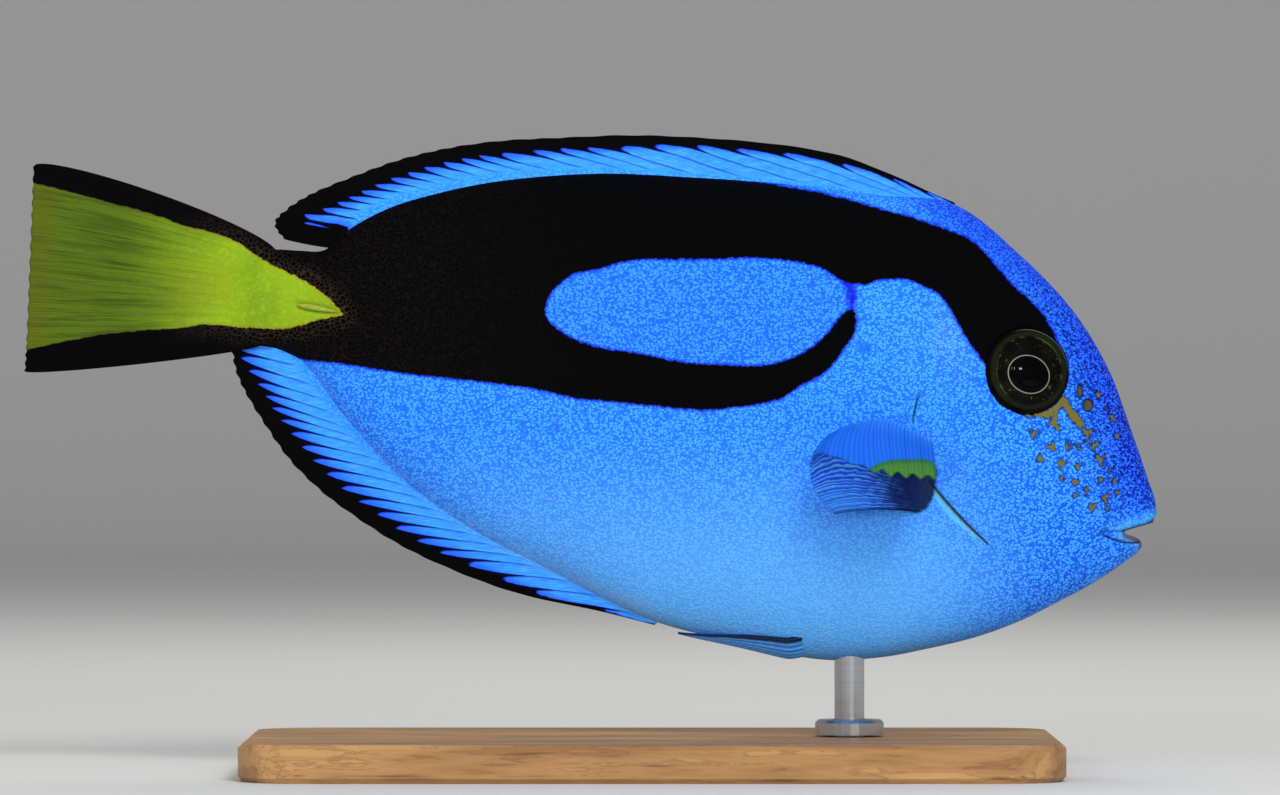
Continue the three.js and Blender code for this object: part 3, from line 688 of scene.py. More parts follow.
class Paint:
    """A material under construction: a Principled shader and the nodes that lead to it."""

    def __init__(self, name: str, **constants: float | tuple) -> None:
        """Makes the material.

        Args:
            name: The material's name.
            constants: Values of the shader's own sockets, with spaces written as underscores.
        """
        self.material = bpy.data.materials.new(name)
        self.material.use_nodes = True
        self.tree = self.material.node_tree
        self.shader = next(n for n in self.tree.nodes if n.type == "BSDF_PRINCIPLED")
        self.finish(**constants)

    def node(
        self,
        kind: str,
        settings: Mapping[str, object] | None = None,
        values: Mapping[str | int, Value] | None = None,
        output: str | int = 0,
    ) -> Wire:
        """Adds one node.

        Args:
            kind: The node's type.
            settings: Its properties, set before anything is linked.
            values: Constants or wires for its sockets, by name or number.
            output: The socket whose value is wanted.

        Returns:
            The wire that leaves the node.
        """
        made = self.tree.nodes.new(kind)
        for key, value in (settings or {}).items():
            setattr(made, key, value)
        for key, value in (values or {}).items():
            self.feed(made.inputs[key], value)
        return Wire(self, made.outputs[output])

    def feed(self, socket: bpy.types.NodeSocket, value: Value) -> None:
        """Links a wire to a socket, or sets a constant on it.

        Args:
            socket: The socket.
            value: The wire, number, tuple or colour code.
        """
        if isinstance(value, Wire):
            self.tree.links.new(value.socket, socket)
        else:
            socket.default_value = tint(value) if isinstance(value, str) else value

    def layer(self, name: str) -> Wire:
        """The values kept with the vertices under a name."""
        return self.node("ShaderNodeAttribute", {"attribute_name": name}, output="Fac")

    def places(self) -> Wire:
        """Object coordinates in metres."""
        return self.node("ShaderNodeTexCoord", output="Object")

    def vector(self, operation: str, *values: Value) -> Wire:
        """One Vector Math node on the values in order."""
        settings = {"operation": operation}
        return self.node("ShaderNodeVectorMath", settings, dict(enumerate(values)))

    def mirrored(self) -> Wire:
        """Object coordinates moved clear of x = 0, with y's size for y, alike on both flanks."""
        return self.vector("ABSOLUTE", self.vector("ADD", self.places(), CLEAR_OF_ZERO))

    def stretched(self, places: Wire, by: tuple[float, float, float]) -> Wire:
        """Coordinates multiplied axis by axis."""
        return self.vector("MULTIPLY", places, by)

    def noise(self, places: Wire, scale: float, detail: float = 2.0, rough: float = 0.5) -> Wire:
        """A cloudy pattern between 0 and 1."""
        values = {"Vector": places, "Scale": scale, "Detail": detail, "Roughness": rough}
        return self.node("ShaderNodeTexNoise", {}, values)

    def cells(self, places: Wire, scale: float, feature: str = "F1", spread: float = 1.0) -> Wire:
        """The distance to the nearest of scattered centres, or to the cells' edges."""
        values = {"Vector": places, "Scale": scale, "Randomness": spread}
        return self.node("ShaderNodeTexVoronoi", {"feature": feature}, values, "Distance")

    def blend(self, first: Value, second: Value, share: Wire | float) -> Wire:
        """A colour between two, all the first at share 0 and all the second at 1."""
        settings = {"data_type": "RGBA", "clamp_factor": True}
        return self.node("ShaderNodeMix", settings, {0: share, 6: first, 7: second}, 2)

    def coats(self, colour: Value, *coats: tuple[Value, Wire | float]) -> Wire:
        """Lays colours over one another.

        Args:
            colour: The undermost.
            coats: Each further colour and the share of it that shows, in order.

        Returns:
            The colour seen.
        """
        for coat, share in coats:
            colour = self.blend(colour, coat, share)
        return colour

    def relief(self, height: Wire, size: float, under: Wire | None = None) -> Wire:
        """A bumped normal.

        Args:
            height: The height between 0 and 1.
            size: What a height of 1 stands for, in millimetres.
            under: The normal to bump, if not the mesh's own.

        Returns:
            The normal.
        """
        values: dict[str | int, Value] = {"Height": height, "Distance": size * MM}
        if under is not None:
            values["Normal"] = under
        return self.node("ShaderNodeBump", {}, values | {"Strength": 1.0})

    def finish(self, **links: Value) -> bpy.types.Material:
        """Feeds the shader.

        Args:
            links: Values or wires by socket, with spaces written as underscores.

        Returns:
            The material.
        """
        for key, value in links.items():
            self.feed(self.shader.inputs[key.replace("_", " ")], value)
        return self.material


@dataclass(frozen=True)
class TangColours:
    """The colours of the fish: its skin, tail, long fins, pectoral fins, eyes and tail spines."""

    azure: str = "#3A9AFF"
    pale: str = "#74C8FF"
    pit: str = "#0F5CE4"
    deep: str = "#164BFF"
    violet: str = "#0E08C8"
    navy: str = "#050A30"
    black: str = "#030304"
    brown: str = "#33291C"
    olive: str = "#6A6428"
    cyan: str = "#5CC8EC"
    lavender: str = "#A9B4E6"
    yellow: str = "#82A216"
    lime: str = "#648A18"
    sedge: str = "#455A0E"
    moss: str = "#2B3E0A"
    gold: str = "#8E7C1C"
    face_pale: str = "#3A7CFF"
    face_pit: str = "#0713A0"
    temple: str = "#0A5CE0"
    nostril: str = "#4E4A2C"
    gill_tan: str = "#8A8046"
    gill_slit: str = "#06302E"
    inner_lip: str = "#54412F"
    under_lip: str = "#221E2A"
    # painted shade inside the mouth
    mouth_shadow: str = "#241410"
    straw: str = "#A8C432"
    mustard: str = "#87841A"
    tail_rim: str = "#58540C"
    ray_ink: str = "#0A1C8E"
    fan_root: str = "#2A80F0"
    fan_outer: str = "#1A62D8"
    # painted light: the lighter band along the pectoral fin's lit crest
    crest_highlight: str = "#4C9EFA"
    fan_ray: str = "#0B42B8"
    cobalt: str = "#0C48FF"
    # painted highlight on the ridges of the pectoral fin's lower lobe
    ridge_highlight_blue: str = "#5CBCFF"
    # painted shadow at the pectoral fin's root
    root_shadow_navy: str = "#061048"
    leaf_rim: str = "#1E5F2E"
    leaf: str = "#42772A"
    leaf_ray: str = "#1B5A48"
    iris: str = "#030403"
    iris_cloud: str = "#0B0C07"
    iris_fleck: str = "#6A5C2C"
    iris_rim: str = "#1A220F"
    iris_glint: str = "#5C6236"
    eye_edge: str = "#020302"
    # painted highlight on the eye's rim
    eye_rim_highlight: str = "#5E685C"
    pupil_ring: str = "#8E8D74"
    pupil: str = "#010102"
    horn: str = "#7E901E"
    horn_pale: str = "#9AA63A"


COLOURS = TangColours()


def scaled_blue(
    paint: Paint, places: Wire, dark: Wire | float, face: Wire | float = 0.0
) -> tuple[Wire, Wire]:
    """The azure of the flanks, with pits between its small scales and lighter centres on them,
    partly the scales' own tone and partly painted highlight on their domes.

    Args:
        paint: The material under construction.
        places: Coordinates for the pattern.
        dark: How strong the pits are.
        face: How far the blue deepens to that of the face.

    Returns:
        The colour and the height of the scales, 1 on top of each.
    """
    rows = paint.stretched(places, (1.0, 0.8, 1.3))
    centre = paint.cells(rows, BLUE_SCALES, "F1", 0.9)
    cloud = paint.noise(places, PIT_CLOUDS)
    pits = centre.step(0.36, 0.54) * cloud.step(0.28, 0.5)
    dome = 1 - centre.step(0.1, 0.7)
    azure = paint.blend(COLOURS.azure, COLOURS.deep, face)
    pale = paint.blend(COLOURS.pale, COLOURS.face_pale, face)
    pit = paint.blend(COLOURS.pit, COLOURS.face_pit, face + (dark - 0.8) * 0.8)
    # lighter scale centres: partly their own tone, partly painted highlight on the domes
    colour = paint.blend(azure, pale, (1 - centre.step(0.0, 0.34)) * 0.3)
    return paint.blend(colour, pit, pits * dark), dome


def wedge_yellow(paint: Paint, places: Wire, depth: Wire) -> Wire:
    """The yellow of the tail's wedge, with a golden rim where it meets the black.

    Args:
        paint: The material under construction.
        places: Coordinates alike on both flanks.
        depth: How far inside the wedge, in millimetres.

    Returns:
        The colour.
    """
    return paint.coats(
        COLOURS.yellow,
        (COLOURS.lime, paint.noise(places, 90.0, 3.0).step(0.42, 0.68) * 0.6),
        (COLOURS.straw, paint.noise(places, 1400.0).step(0.5, 0.7) * 0.25),
        (COLOURS.mustard, paint.noise(places, 70.0).step(0.52, 0.7) * 0.35),
        (COLOURS.gold, depth.fade(0.05, 0.45) * 0.7),
    )


def scaled_black(paint: Paint, places: Wire, dust: Wire | float) -> Wire:
    """Black with thin brown rims round its scales.

    Args:
        paint: The material under construction.
        places: Coordinates alike on both flanks.
        dust: How strong the rims are.

    Returns:
        The colour.
    """
    rows = paint.stretched(places, (1.0, 0.5, 1.15))
    rim = paint.cells(rows, BLACK_SCALES, "DISTANCE_TO_EDGE").fade(0.02, 0.11)
    return paint.blend(COLOURS.black, COLOURS.brown, rim * dust)


@dataclass(frozen=True)
class SkinFinish:
    """Scaled skin: azure flanks, deep blue face, black palette, yellow tail wedge."""

    roughness: float = 0.46
    coat: float = 0.14
    scale_relief: float = 0.04
    cloud_rate: float = 500.0
    fleck_rate: float = 1500.0
    rag_rate: float = 1500.0

    def blues(self, paint: Paint) -> tuple[Wire, Wire]:
        """The flanks, the deeper oval and face, the paler belly, partly painted light, and the
        specks of the face.

        Args:
            paint: The material under construction.

        Returns:
            The colour and the height of the scales.
        """
        places = paint.places()
        deep = (paint.layer("face") * 0.8).most(paint.layer("oval") * 0.22)
        dark = 0.85 + paint.layer("cheek") * 0.15
        colour, dome = scaled_blue(paint, places, dark, deep)
        cloud = paint.noise(places, self.cloud_rate, 1.0)
        streak = paint.layer("streak").fade(0.0, 2.2) * cloud.step(0.2, 0.6)
        speck = paint.cells(paint.stretched(places, (1.0, 0.8, 1.0)), self.fleck_rate)
        speckle = speck.fade(0.22, 0.42) * paint.layer("specks") * cloud.step(0.2, 0.45)
        colour = paint.coats(
            colour,
            # paler belly: partly its own tone, partly painted light on the lower flank
            (COLOURS.pale, paint.layer("belly") * 0.5),
            (COLOURS.lavender, streak * 0.16),
            (COLOURS.navy, speckle * 0.95),
        )
        return colour, dome

    def cheek_marks(self, paint: Paint, colour: Wire, ragged: Wire) -> Wire:
        """Lays on olive marks with dark outlines, the nostrils and a faint ring on the temple.

        Args:
            paint: The material under construction.
            colour: The colour so far.
            ragged: A fine noise about 0 that frays the marks' edges.

        Returns:
            The colour with the marks.
        """
        temple = paint.layer("temple") + ragged * 0.3
        mark, nostril = paint.layer("marks") + ragged * 1.1, paint.layer("nostrils")
        return paint.coats(
            colour,
            (COLOURS.temple, abs(temple).fade(0.05, 0.3) * 0.6 + temple.fade(-0.2, 0.1) * 0.3),
            (COLOURS.navy, mark.fade(0.1, 0.32) * 0.8),
            (COLOURS.olive, mark.fade(-0.12, 0.1)),
            (COLOURS.navy, nostril.fade(0.1, 0.3) * 0.9),
            (COLOURS.nostril, nostril.fade(-0.15, 0.05)),
        )

    def gill_slits(self, paint: Paint, colour: Wire) -> Wire:
        """Lays on a dark slit with a tan line and a pale lens-shaped band behind it.

        Args:
            paint: The material under construction.
            colour: The colour so far.

        Returns:
            The colour with the slits.
        """
        slit, lens = paint.layer("gill"), paint.layer("lens")
        behind = slit * -1
        band = (behind - lens * 1.25).fade(-0.15, 0.1) * behind.step(0.0, 0.25)
        return paint.coats(
            colour,
            (COLOURS.cyan, band * lens.step(0.05, 0.3) * 0.55),
            (COLOURS.gill_tan, abs(slit + 0.28).fade(0.06, 0.2) * lens.step(0.3, 0.6) * 0.7),
            (COLOURS.gill_slit, abs(slit).fade(0.07, 0.32) * lens.step(0.02, 0.22) * 0.9),
        )

    def mouth(self, paint: Paint, colour: Wire) -> Wire:
        """Lays on paler lips and a brown inner lip, with painted shade in the folds and inside the
        mouth.

        Args:
            paint: The material under construction.
            colour: The colour so far.

        Returns:
            The colour with the mouth.
        """
        lips, lower = paint.layer("lips"), paint.layer("lower")
        return paint.coats(
            colour,
            (COLOURS.cyan, lips.fade(0.6, 2.4) * 0.3),
            (COLOURS.inner_lip, lips.fade(0.35, 0.95) * lower * 0.9),
            (COLOURS.under_lip, lips.fade(0.1, 0.5) * (1 - lower) * 0.8),
            # painted shade: navy in the lip folds, and dark brown in the mouth, darker where its
            # hollow is deeper
            (COLOURS.navy, paint.layer("folds").fade(0.04, 0.3) * 0.8),
            (COLOURS.mouth_shadow, paint.layer("mouth").step(0.1, 1.0)),
        )

    def material(self) -> bpy.types.Material:
        """Builds the skin's material.

        Returns:
            The material, with all its markings.
        """
        paint = Paint("tang_skin", **WET_SKIN)
        places = paint.mirrored()
        ragged = paint.noise(places, self.rag_rate) - 0.5
        colour, dome = self.blues(paint)
        colour = self.cheek_marks(paint, colour, ragged)
        colour = self.mouth(paint, self.gill_slits(paint, colour))

        palette = paint.layer("palette") + ragged * 0.7
        bridge = paint.layer("bridge") + ragged * 1.2
        yellow = paint.layer("yellow") + ragged * 0.7
        axil_shadow = paint.layer("axil_shadow") + ragged * 0.5
        dust = paint.layer("rear") * 0.16 + (yellow * -1).fade(0.3, 3.5) * 0.75
        in_palette, in_wedge = palette.step(-0.14, 0.1), yellow.step(-0.1, 0.12)
        colour = paint.coats(
            colour,
            (COLOURS.violet, palette.step(-0.6, -0.05) * 0.8),
            (COLOURS.violet, bridge.fade(0.2, 1.4) * 0.95),
            (scaled_black(paint, places, dust), in_palette),
            (wedge_yellow(paint, places, yellow), in_wedge),
            # painted shadow: navy on the skin where the pectoral fin's root shades it
            (COLOURS.navy, axil_shadow.step(-0.7, 0.1) * 0.95),
            (COLOURS.black, paint.layer("eye").fade(EYE_RADIUS - 0.1, EYE_RADIUS + 0.25)),
        )
        dark = in_palette * (1 - in_wedge)
        return paint.finish(
            Base_Color=colour,
            Roughness=self.roughness + (1 - dome) * 0.1 + dark * 0.1,
            Coat_Weight=self.coat - dark * self.coat,
            Normal=paint.relief(dome, self.scale_relief),
        )


@dataclass
class Skin:
    """The body's skin: the loft with its mouth, gill slits, sockets, nostrils and folds."""

    rows: int = 400
    columns: int = 236
    paces: tuple[tuple[float, float], ...] = (
        (-61, 0.45), (-40, 0.6), (40, 0.55), (60, 0.36), (78, 0.2), (84, 0.12), (90, 0.1),
    )
    mouth_corner: Place = (81.6, 20.6)
    mouth_notch: Place = (85.3, 20.8)
    mouth_line: Line = (
        (94.0, 15.6), (86.9, 16.6), (87.5, 17.2), (87.95, 17.8), (88.25, 18.4), (88.2, 19.1),
        (87.8, 19.6), (87.0, 20.0), (85.5, 20.4), (85.3, 20.9), (86.7, 21.3), (89.3, 22.0),
        (94.0, 23.2),
    )
    mouth_breadth: float = 3.6
    upper_lip: Line = ((85.3, 21.0), (86.7, 21.4), (89.0, 22.0), (90.6, 23.0))
    lower_lip: Line = ((85.3, 20.5), (87.1, 19.9), (88.3, 19.1), (88.2, 18.4))
    upper_fold: Line = ((81.8, 20.8), (82.4, 22.0), (83.5, 23.1), (85.2, 24.6))
    lower_fold: Line = ((81.8, 20.4), (83.2, 19.7), (84.6, 19.2), (86.2, 19.0), (87.6, 19.1))
    crease: Line = ((80.4, 19.7), (81.6, 20.6))
    upper_slit: Line = ((52.7, 44.1), (52.4, 43.0), (51.4, 38.8), (51.5, 37.0))
    lower_slit: Line = ((53.6, 29.6), (54.6, 28.2), (59.1, 23.1), (64.0, 18.3))
    cover_line: Line = ((51.0, 46.2), (57.8, 44.6), (61.1, 38.6), (63.4, 30.6), (66.4, 17.0))
    bridge_line: Line = ((40.9, 60.4), (41.9, 59.0), (41.6, 57.2))
    profile: Line = (
        (86, 10), (91, 22), (86.4, 38), (83.2, 46), (77.6, 56), (68.8, 65), (58.4, 73),
    )
    nostrils: tuple[Oval, Oval] = ((78.1, 43.2, 0.4, 0.9), (79.4, 41.0, 0.75, 0.85))
    temple_spot: Oval = (43.7, 50.1, 1.3, 0.72)
    # Outline of the painted shadow at the pectoral fin's root
    axil_shadow: Line = (
        (55.0, 30.6), (54.8, 28.2), (54.4, 26.4), (53.4, 24.7), (52.0, 24.1), (49.4, 24.9),
        (48.0, 30.0), (54.0, 30.6),
    )
    finish: SkinFinish = SkinFinish()

    def shares(self) -> np.ndarray:
        """Spreads the rows along the body, closest at the snout.

        The way along is the sum, over fine steps, of how far the back, the belly or the half
        breadth moves, whichever moves most, divided by the pace at that x.

        Returns:
            The rows' shares t of the body's length.
        """
        t = np.linspace(0, 1, 6000)
        back, belly, breadth = BODY.lines(t)
        x = (back[:, 0] + belly[:, 0]) / 2
        pace = np.interp(x, *np.array(self.paces).T)
        move = np.maximum(
            np.linalg.norm(np.diff(back, axis=0), axis=1),
            np.linalg.norm(np.diff(belly, axis=0), axis=1),
        )
        move = np.maximum(move, np.abs(np.diff(breadth)))
        travel = np.concatenate([[0], np.cumsum(move / pace[1:])])
        return np.interp(np.linspace(0, travel[-1], self.rows + 2)[1:-1], travel, t)

    def angles(self) -> np.ndarray:
        """Spreads the columns round the section, closest at the height of the mouth.

        The way round is the sum, over fine steps, of 1 plus a bell about 112 degrees.

        Returns:
            The columns' angles, the same on both flanks.
        """
        a = np.linspace(0, math.pi, 2000)
        weight = 1 + 1.3 * hump(a - math.radians(112), math.radians(24))
        travel = np.concatenate([[0], np.cumsum((weight[1:] + weight[:-1]) / 2)])
        half = np.interp(np.linspace(0, travel[-1], self.columns // 2 + 1), travel, a)
        return np.concatenate([half, 2 * math.pi - half[-2:0:-1]])

    def taper(self, t: np.ndarray, angle: np.ndarray) -> np.ndarray:
        """Pinches the edges of the back and of the belly where a fin runs along them.

        Args:
            t: Shares of the body's length.
            angle: The way round, 0 at the back.

        Returns:
            What to multiply the breadth by, 1 less a bell at the edge.
        """
        top = ease(t, 0.3, 0.52) * (1 - ease(t, 0.76, 0.82))
        low = ease(t, 0.52, 0.6) * (1 - ease(t, 0.8, 0.86))
        edge = hump(np.sin(angle), 0.34)
        return 1 - 0.42 * edge * np.where(np.cos(angle) > 0, top, low)

    def eye_reach(self, points: np.ndarray) -> np.ndarray:
        """The distance from the flank's eye axis, the line through its place along the normal.

        Args:
            points: Places on the skin.

        Returns:
            The distances to the axis of the same side.
        """
        best = np.full(points.shape[:-1], FAR_OFF)
        for flank in Flank:
            offset = points - BODY.on_skin(*EYE_PLACE, flank)
            axis = BODY.normal_at(EYE_PLACE, flank)
            deep = offset @ axis
            reach = np.linalg.norm(offset - deep[..., None] * axis, axis=-1)
            best = np.where((points[..., 1] * flank.value > 0) & (reach < best), reach, best)
        return best

    def gill(self, x: np.ndarray, z: np.ndarray) -> tuple[np.ndarray, np.ndarray]:
        """Measures from the nearer of the two gill slits.

        Args:
            x: The x of the places asked about.
            z: Their z.

        Returns:
            The distances, positive ahead of the slit, and how far open it is at that height: the
            sine of the way along it, 0 at both its ends.
        """
        found = []
        for line in (self.upper_slit, self.lower_slit):
            fine = smooth_line(line)
            low, high = fine[:, 1].min(), fine[:, 1].max()
            lens = np.sin(np.pi * np.clip((z - low) / (high - low), 0, 1))
            found.append((side_of(fine, x, z), lens))
        nearer = np.abs(found[0][0]) < np.abs(found[1][0])
        lens = np.where(nearer, found[0][1] * 0.24, found[1][1])
        return np.where(nearer, found[0][0], found[1][0]), lens

    def marks(self, x: np.ndarray, z: np.ndarray) -> np.ndarray:
        """The distance to the cheek's marks, stars of three unequal arms and thick strokes.

        Args:
            x: The x of the places asked about.
            z: Their z.

        Returns:
            The distances, negative inside a mark.
        """
        best = np.full(x.shape, FAR_OFF)
        for cx, cz, reach, turn in CHEEK_STARS:
            for arm, share in ((0, 1.0), (115, 0.75), (235, 0.9)):
                way = math.radians(turn + arm)
                tip = (cx + reach * share * math.cos(way), cz + reach * share * math.sin(way))
                line = np.array([(cx, cz), tip])
                best = np.minimum(best, distance_to(line, x, z) - 0.08 - 0.18 * reach)
        for ax, az, bx, bz, half in CHEEK_STROKES:
            best = np.minimum(best, distance_to(np.array([(ax, az), (bx, bz)]), x, z) - half)
        return best

    def layers(self, points: np.ndarray) -> dict[str, np.ndarray]:
        """Measures all that the shape and the finish read.

        Args:
            points: Places on the skin before it is carved.

        Returns:
            Distances in millimetres and shares, by name.
        """
        x, z = points[..., 0], points[..., 2]
        upper_lip = distance_to(np.array(self.upper_lip), x, z)
        lower_lip = distance_to(np.array(self.lower_lip), x, z)
        folds = np.minimum(
            distance_to(smooth_line(self.upper_fold), x, z) + 0.1 + 0.3 * ease(x, 82.4, 85.2),
            distance_to(smooth_line(self.lower_fold), x, z),
        )
        folds = np.minimum(folds, distance_to(np.array(self.crease), x, z) + 0.08)
        gill, lens = self.gill(x, z)
        front_x, front_z = np.array(self.profile).T
        from_front = np.interp(z, front_z, front_x) - x
        return {
            "palette": depth_in(palette_line(), x, z),
            "yellow": depth_in(yellow_line(), x, z),
            "gill": gill,
            "lens": lens,
            "eye": self.eye_reach(points),
            "lips": np.minimum(upper_lip, lower_lip),
            "lower": (1 - ease(z, 20.4, 20.9)) * ease(x, 84.4, 85.6),
            "folds": folds,
            "marks": self.marks(x, z),
            "nostrils": np.minimum(*(past_oval(oval, x, z) for oval in self.nostrils)),
            "temple": past_oval(self.temple_spot, x, z),
            "axil_shadow": depth_in(np.array(self.axil_shadow), x, z),
            "oval": ease(depth_in(smooth_line(BLUE_OVAL, closed=True), x, z), -1.0, 0.8),
            "bridge": distance_to(smooth_line(self.bridge_line), x, z),
            "streak": distance_to(smooth_line(FIN_BASE_STREAK), x, z),
            "face": (1 - ease(from_front, 0.5, 13)) * ease(z, 16, 30),
            "specks": (1 - ease(from_front, 3, 12)) * ease(z, 18, 30) * (1 - ease(z, 58, 68)),
            "cheek": ease(x, 54, 74) * (1 - ease(z, 48, 60)),
            "belly": belly_share(x, z),
            "rear": 1 - ease(x, -44, 10),
            "mouth": np.zeros_like(x),
        }

    def relief(self, points: np.ndarray, layers: dict[str, np.ndarray]) -> np.ndarray:
        """Sums bells and steps on the layers.

        They are a lifted edge and a groove at the gill slit, a rim and a bowl at the eye, pits at
        the nostrils, rolls and folds at the lips, and a groove for the tail spine.

        Args:
            points: Places on the skin.
            layers: What was measured at each.

        Returns:
            How far each place moves out.
        """
        x, z = points[..., 0], points[..., 2]
        gill, lens = layers["gill"], layers["lens"]
        out = lens * 0.45 * np.exp(-np.maximum(gill, 0) / 2.4) * ease(gill, -0.3, 0.25)
        out -= lens * 0.6 * hump(gill + 0.3, 0.35)
        cover = side_of(smooth_line(self.cover_line), x, z)
        out += 0.16 * hump(cover - 0.9, 1.2) * ease(z, 18, 24) * (1 - ease(z, 40, 46))
        eye = layers["eye"]
        out += 0.2 * hump(eye - EYE_RADIUS - 0.4, 0.45)
        out -= 2.6 * (1 - ease(eye, EYE_RADIUS - 0.9, EYE_RADIUS))
        nostrils = layers["nostrils"]
        out += 0.12 * hump(nostrils - 0.2, 0.2) - 0.45 * (1 - ease(nostrils, -0.4, 0.05))
        out += 0.3 * hump(layers["lips"] - 0.7, 0.75)
        out -= 0.3 * hump(layers["folds"], 0.24)
        slit = distance_to(np.array([self.mouth_corner, self.mouth_notch]), x, z)
        out -= 0.6 * hump(slit, 0.22)
        out -= 0.45 * hump(distance_to(np.array(SPINE_LINE), x, z), 0.7)
        return out

    def open_mouth(self, points: np.ndarray, layers: dict[str, np.ndarray]) -> np.ndarray:
        """Moves what lies in the mouth's wedge back to its walls, and further inside the lips.

        The wall's x is read from the height along the mouth's side-view line, and each x becomes
        the softer of itself and the wall. A hollow goes deeper, by the root of one less the
        square of the share of its breadth and by how far the wall lies behind the lips. The
        depth of the hollow is kept as the layer "mouth".

        Args:
            points: Places on the skin.
            layers: What was measured at each, changed in place.

        Returns:
            The places moved.
        """
        x, y, z = np.moveaxis(points, -1, 0)
        walls, heights = np.array(self.mouth_line).T
        wall = np.interp(z, heights, walls, left=FAR_OFF, right=FAR_OFF)
        bowl = np.sqrt(np.clip(1 - (y / self.mouth_breadth) ** 2, 0, 1))
        hollow = 3.6 * bowl * np.clip((88.8 - wall) / 2.4, 0, 1) * ease(z, 19.1, 19.8)
        over = x - wall
        soft = np.where(over > 1, over, np.log1p(np.exp(np.minimum(over, 1) / 0.14)) * 0.14)
        deep = hollow * ease(over, 0, 0.8)
        layers["mouth"] = np.where(soft > 0.3, deep, 0)
        return np.stack([x - soft - deep, y, z], axis=-1)

    def build(self) -> bpy.types.Object:
        """Lofts, carves and dresses the skin.

        Returns:
            The piece, which rides the root body in the place of the solids of flesh.
        """
        t, angle = self.shares()[:, None], self.angles()[None]
        grid = BODY.surface(t + 0 * angle, angle + 0 * t)
        grid[..., 1] *= self.taper(t, angle)
        grid[..., 1] *= 1 - 0.55 * ease(-grid[..., 0], 52, 60)
        normals = grid_normals(grid, wrap=True)
        outward = np.sum(normals * (grid - grid.mean(axis=1, keepdims=True)), axis=-1)
        normals *= np.sign(outward.mean())
        layers = self.layers(grid)
        grid = grid + normals * self.relief(grid, layers)[..., None]
        grid = self.open_mouth(grid, layers)
        poles = BODY.surface(np.array([0.0, 1.0]), np.array([0.0, 0.0]))
        poles[0, 0] = grid[0, :, 0].min()
        kept = {
            name: np.concatenate([[values[0].mean()], values.ravel(), [values[-1].mean()]])
            for name, values in layers.items()
        }
        piece = write_rings("skin", grid, poles, self.finish.material(), kept)
        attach(piece, "root")
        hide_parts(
            "head", "gill_cover_right", "gill_cover_left", "upper_lip", "lower_lip",
            "trunk", "tail_stalk",
        )
        return piece


@dataclass(frozen=True)
class FinFinish:
    """A blue fin with a black margin that reaches in along the rays as dark wedges."""

    name: str
    rag_rate: float = 1100.0
    sway_rate: float = 110.0
    grain_rate: float = 1500.0

    def material(self) -> bpy.types.Material:
        """Builds the fin's material.

        Close to the body the blue is the flank's. Outwards it deepens, a thin dark line lies on
        each ray, and each line widens into the margin with the fifth power of the way there.

        Returns:
            The material.
        """
        paint = Paint(self.name, **WET_SKIN)
        places = paint.mirrored()
        ragged = paint.noise(places, self.rag_rate) - 0.5
        sway = paint.noise(places, self.sway_rate) - 0.5
        ray = paint.layer("ray") + sway * paint.layer("sway")
        near, lined = (ray + 0.5).off_half(), paint.layer("lined")
        inner = paint.layer("inner") + ragged * 0.35
        edge = inner.step(-0.1, 0.15)
        reach = (1 - inner / paint.layer("tooth")).least(1.0).most(0.0)
        past = near - (0.03 + 0.1 * reach + 0.38 * reach**5)
        dark = past.fade(-0.02, 0.04) * reach.step(0.02, 0.2)
        thin = (ray * 5).off_half().fade(0.0, 0.4) * lined

        flank, dome = scaled_blue(paint, places, 0.5)
        grain = paint.noise(paint.stretched(places, (0.35, 1.0, 1.6)), self.grain_rate)
        blue = paint.coats(
            COLOURS.azure,
            (COLOURS.pale, grain.step(0.5, 0.8) * 0.3),
            (COLOURS.pit, grain.step(0.5, 0.25) * 0.35),
        )
        colour = paint.coats(
            flank,
            # paler near the belly: partly its own tone, partly painted light on the lower flank
            (COLOURS.pale, paint.layer("belly") * 0.45),
            (blue, paint.layer("out")),
            (COLOURS.pit, thin * 0.4),
            (COLOURS.deep, reach.step(0.1, 0.95) * 0.85),
            (COLOURS.violet, past.fade(0.0, 0.12) * reach.step(0.1, 0.6) * 0.8),
            (COLOURS.ray_ink, near.fade(0.015, 0.075) * lined * 0.85),
            (paint.blend(COLOURS.navy, COLOURS.black, reach.step(0.3, 0.9)), dark),
        )
        return paint.finish(
            Base_Color=paint.blend(COLOURS.black, colour, edge),
            Roughness=0.5 + dome * 0.05,
            Coat_Weight=edge * (1 - dark) * 0.14,
            Normal=paint.relief(thin, 0.02, paint.relief(near.fade(0.0, 0.3), 0.05)),
        )


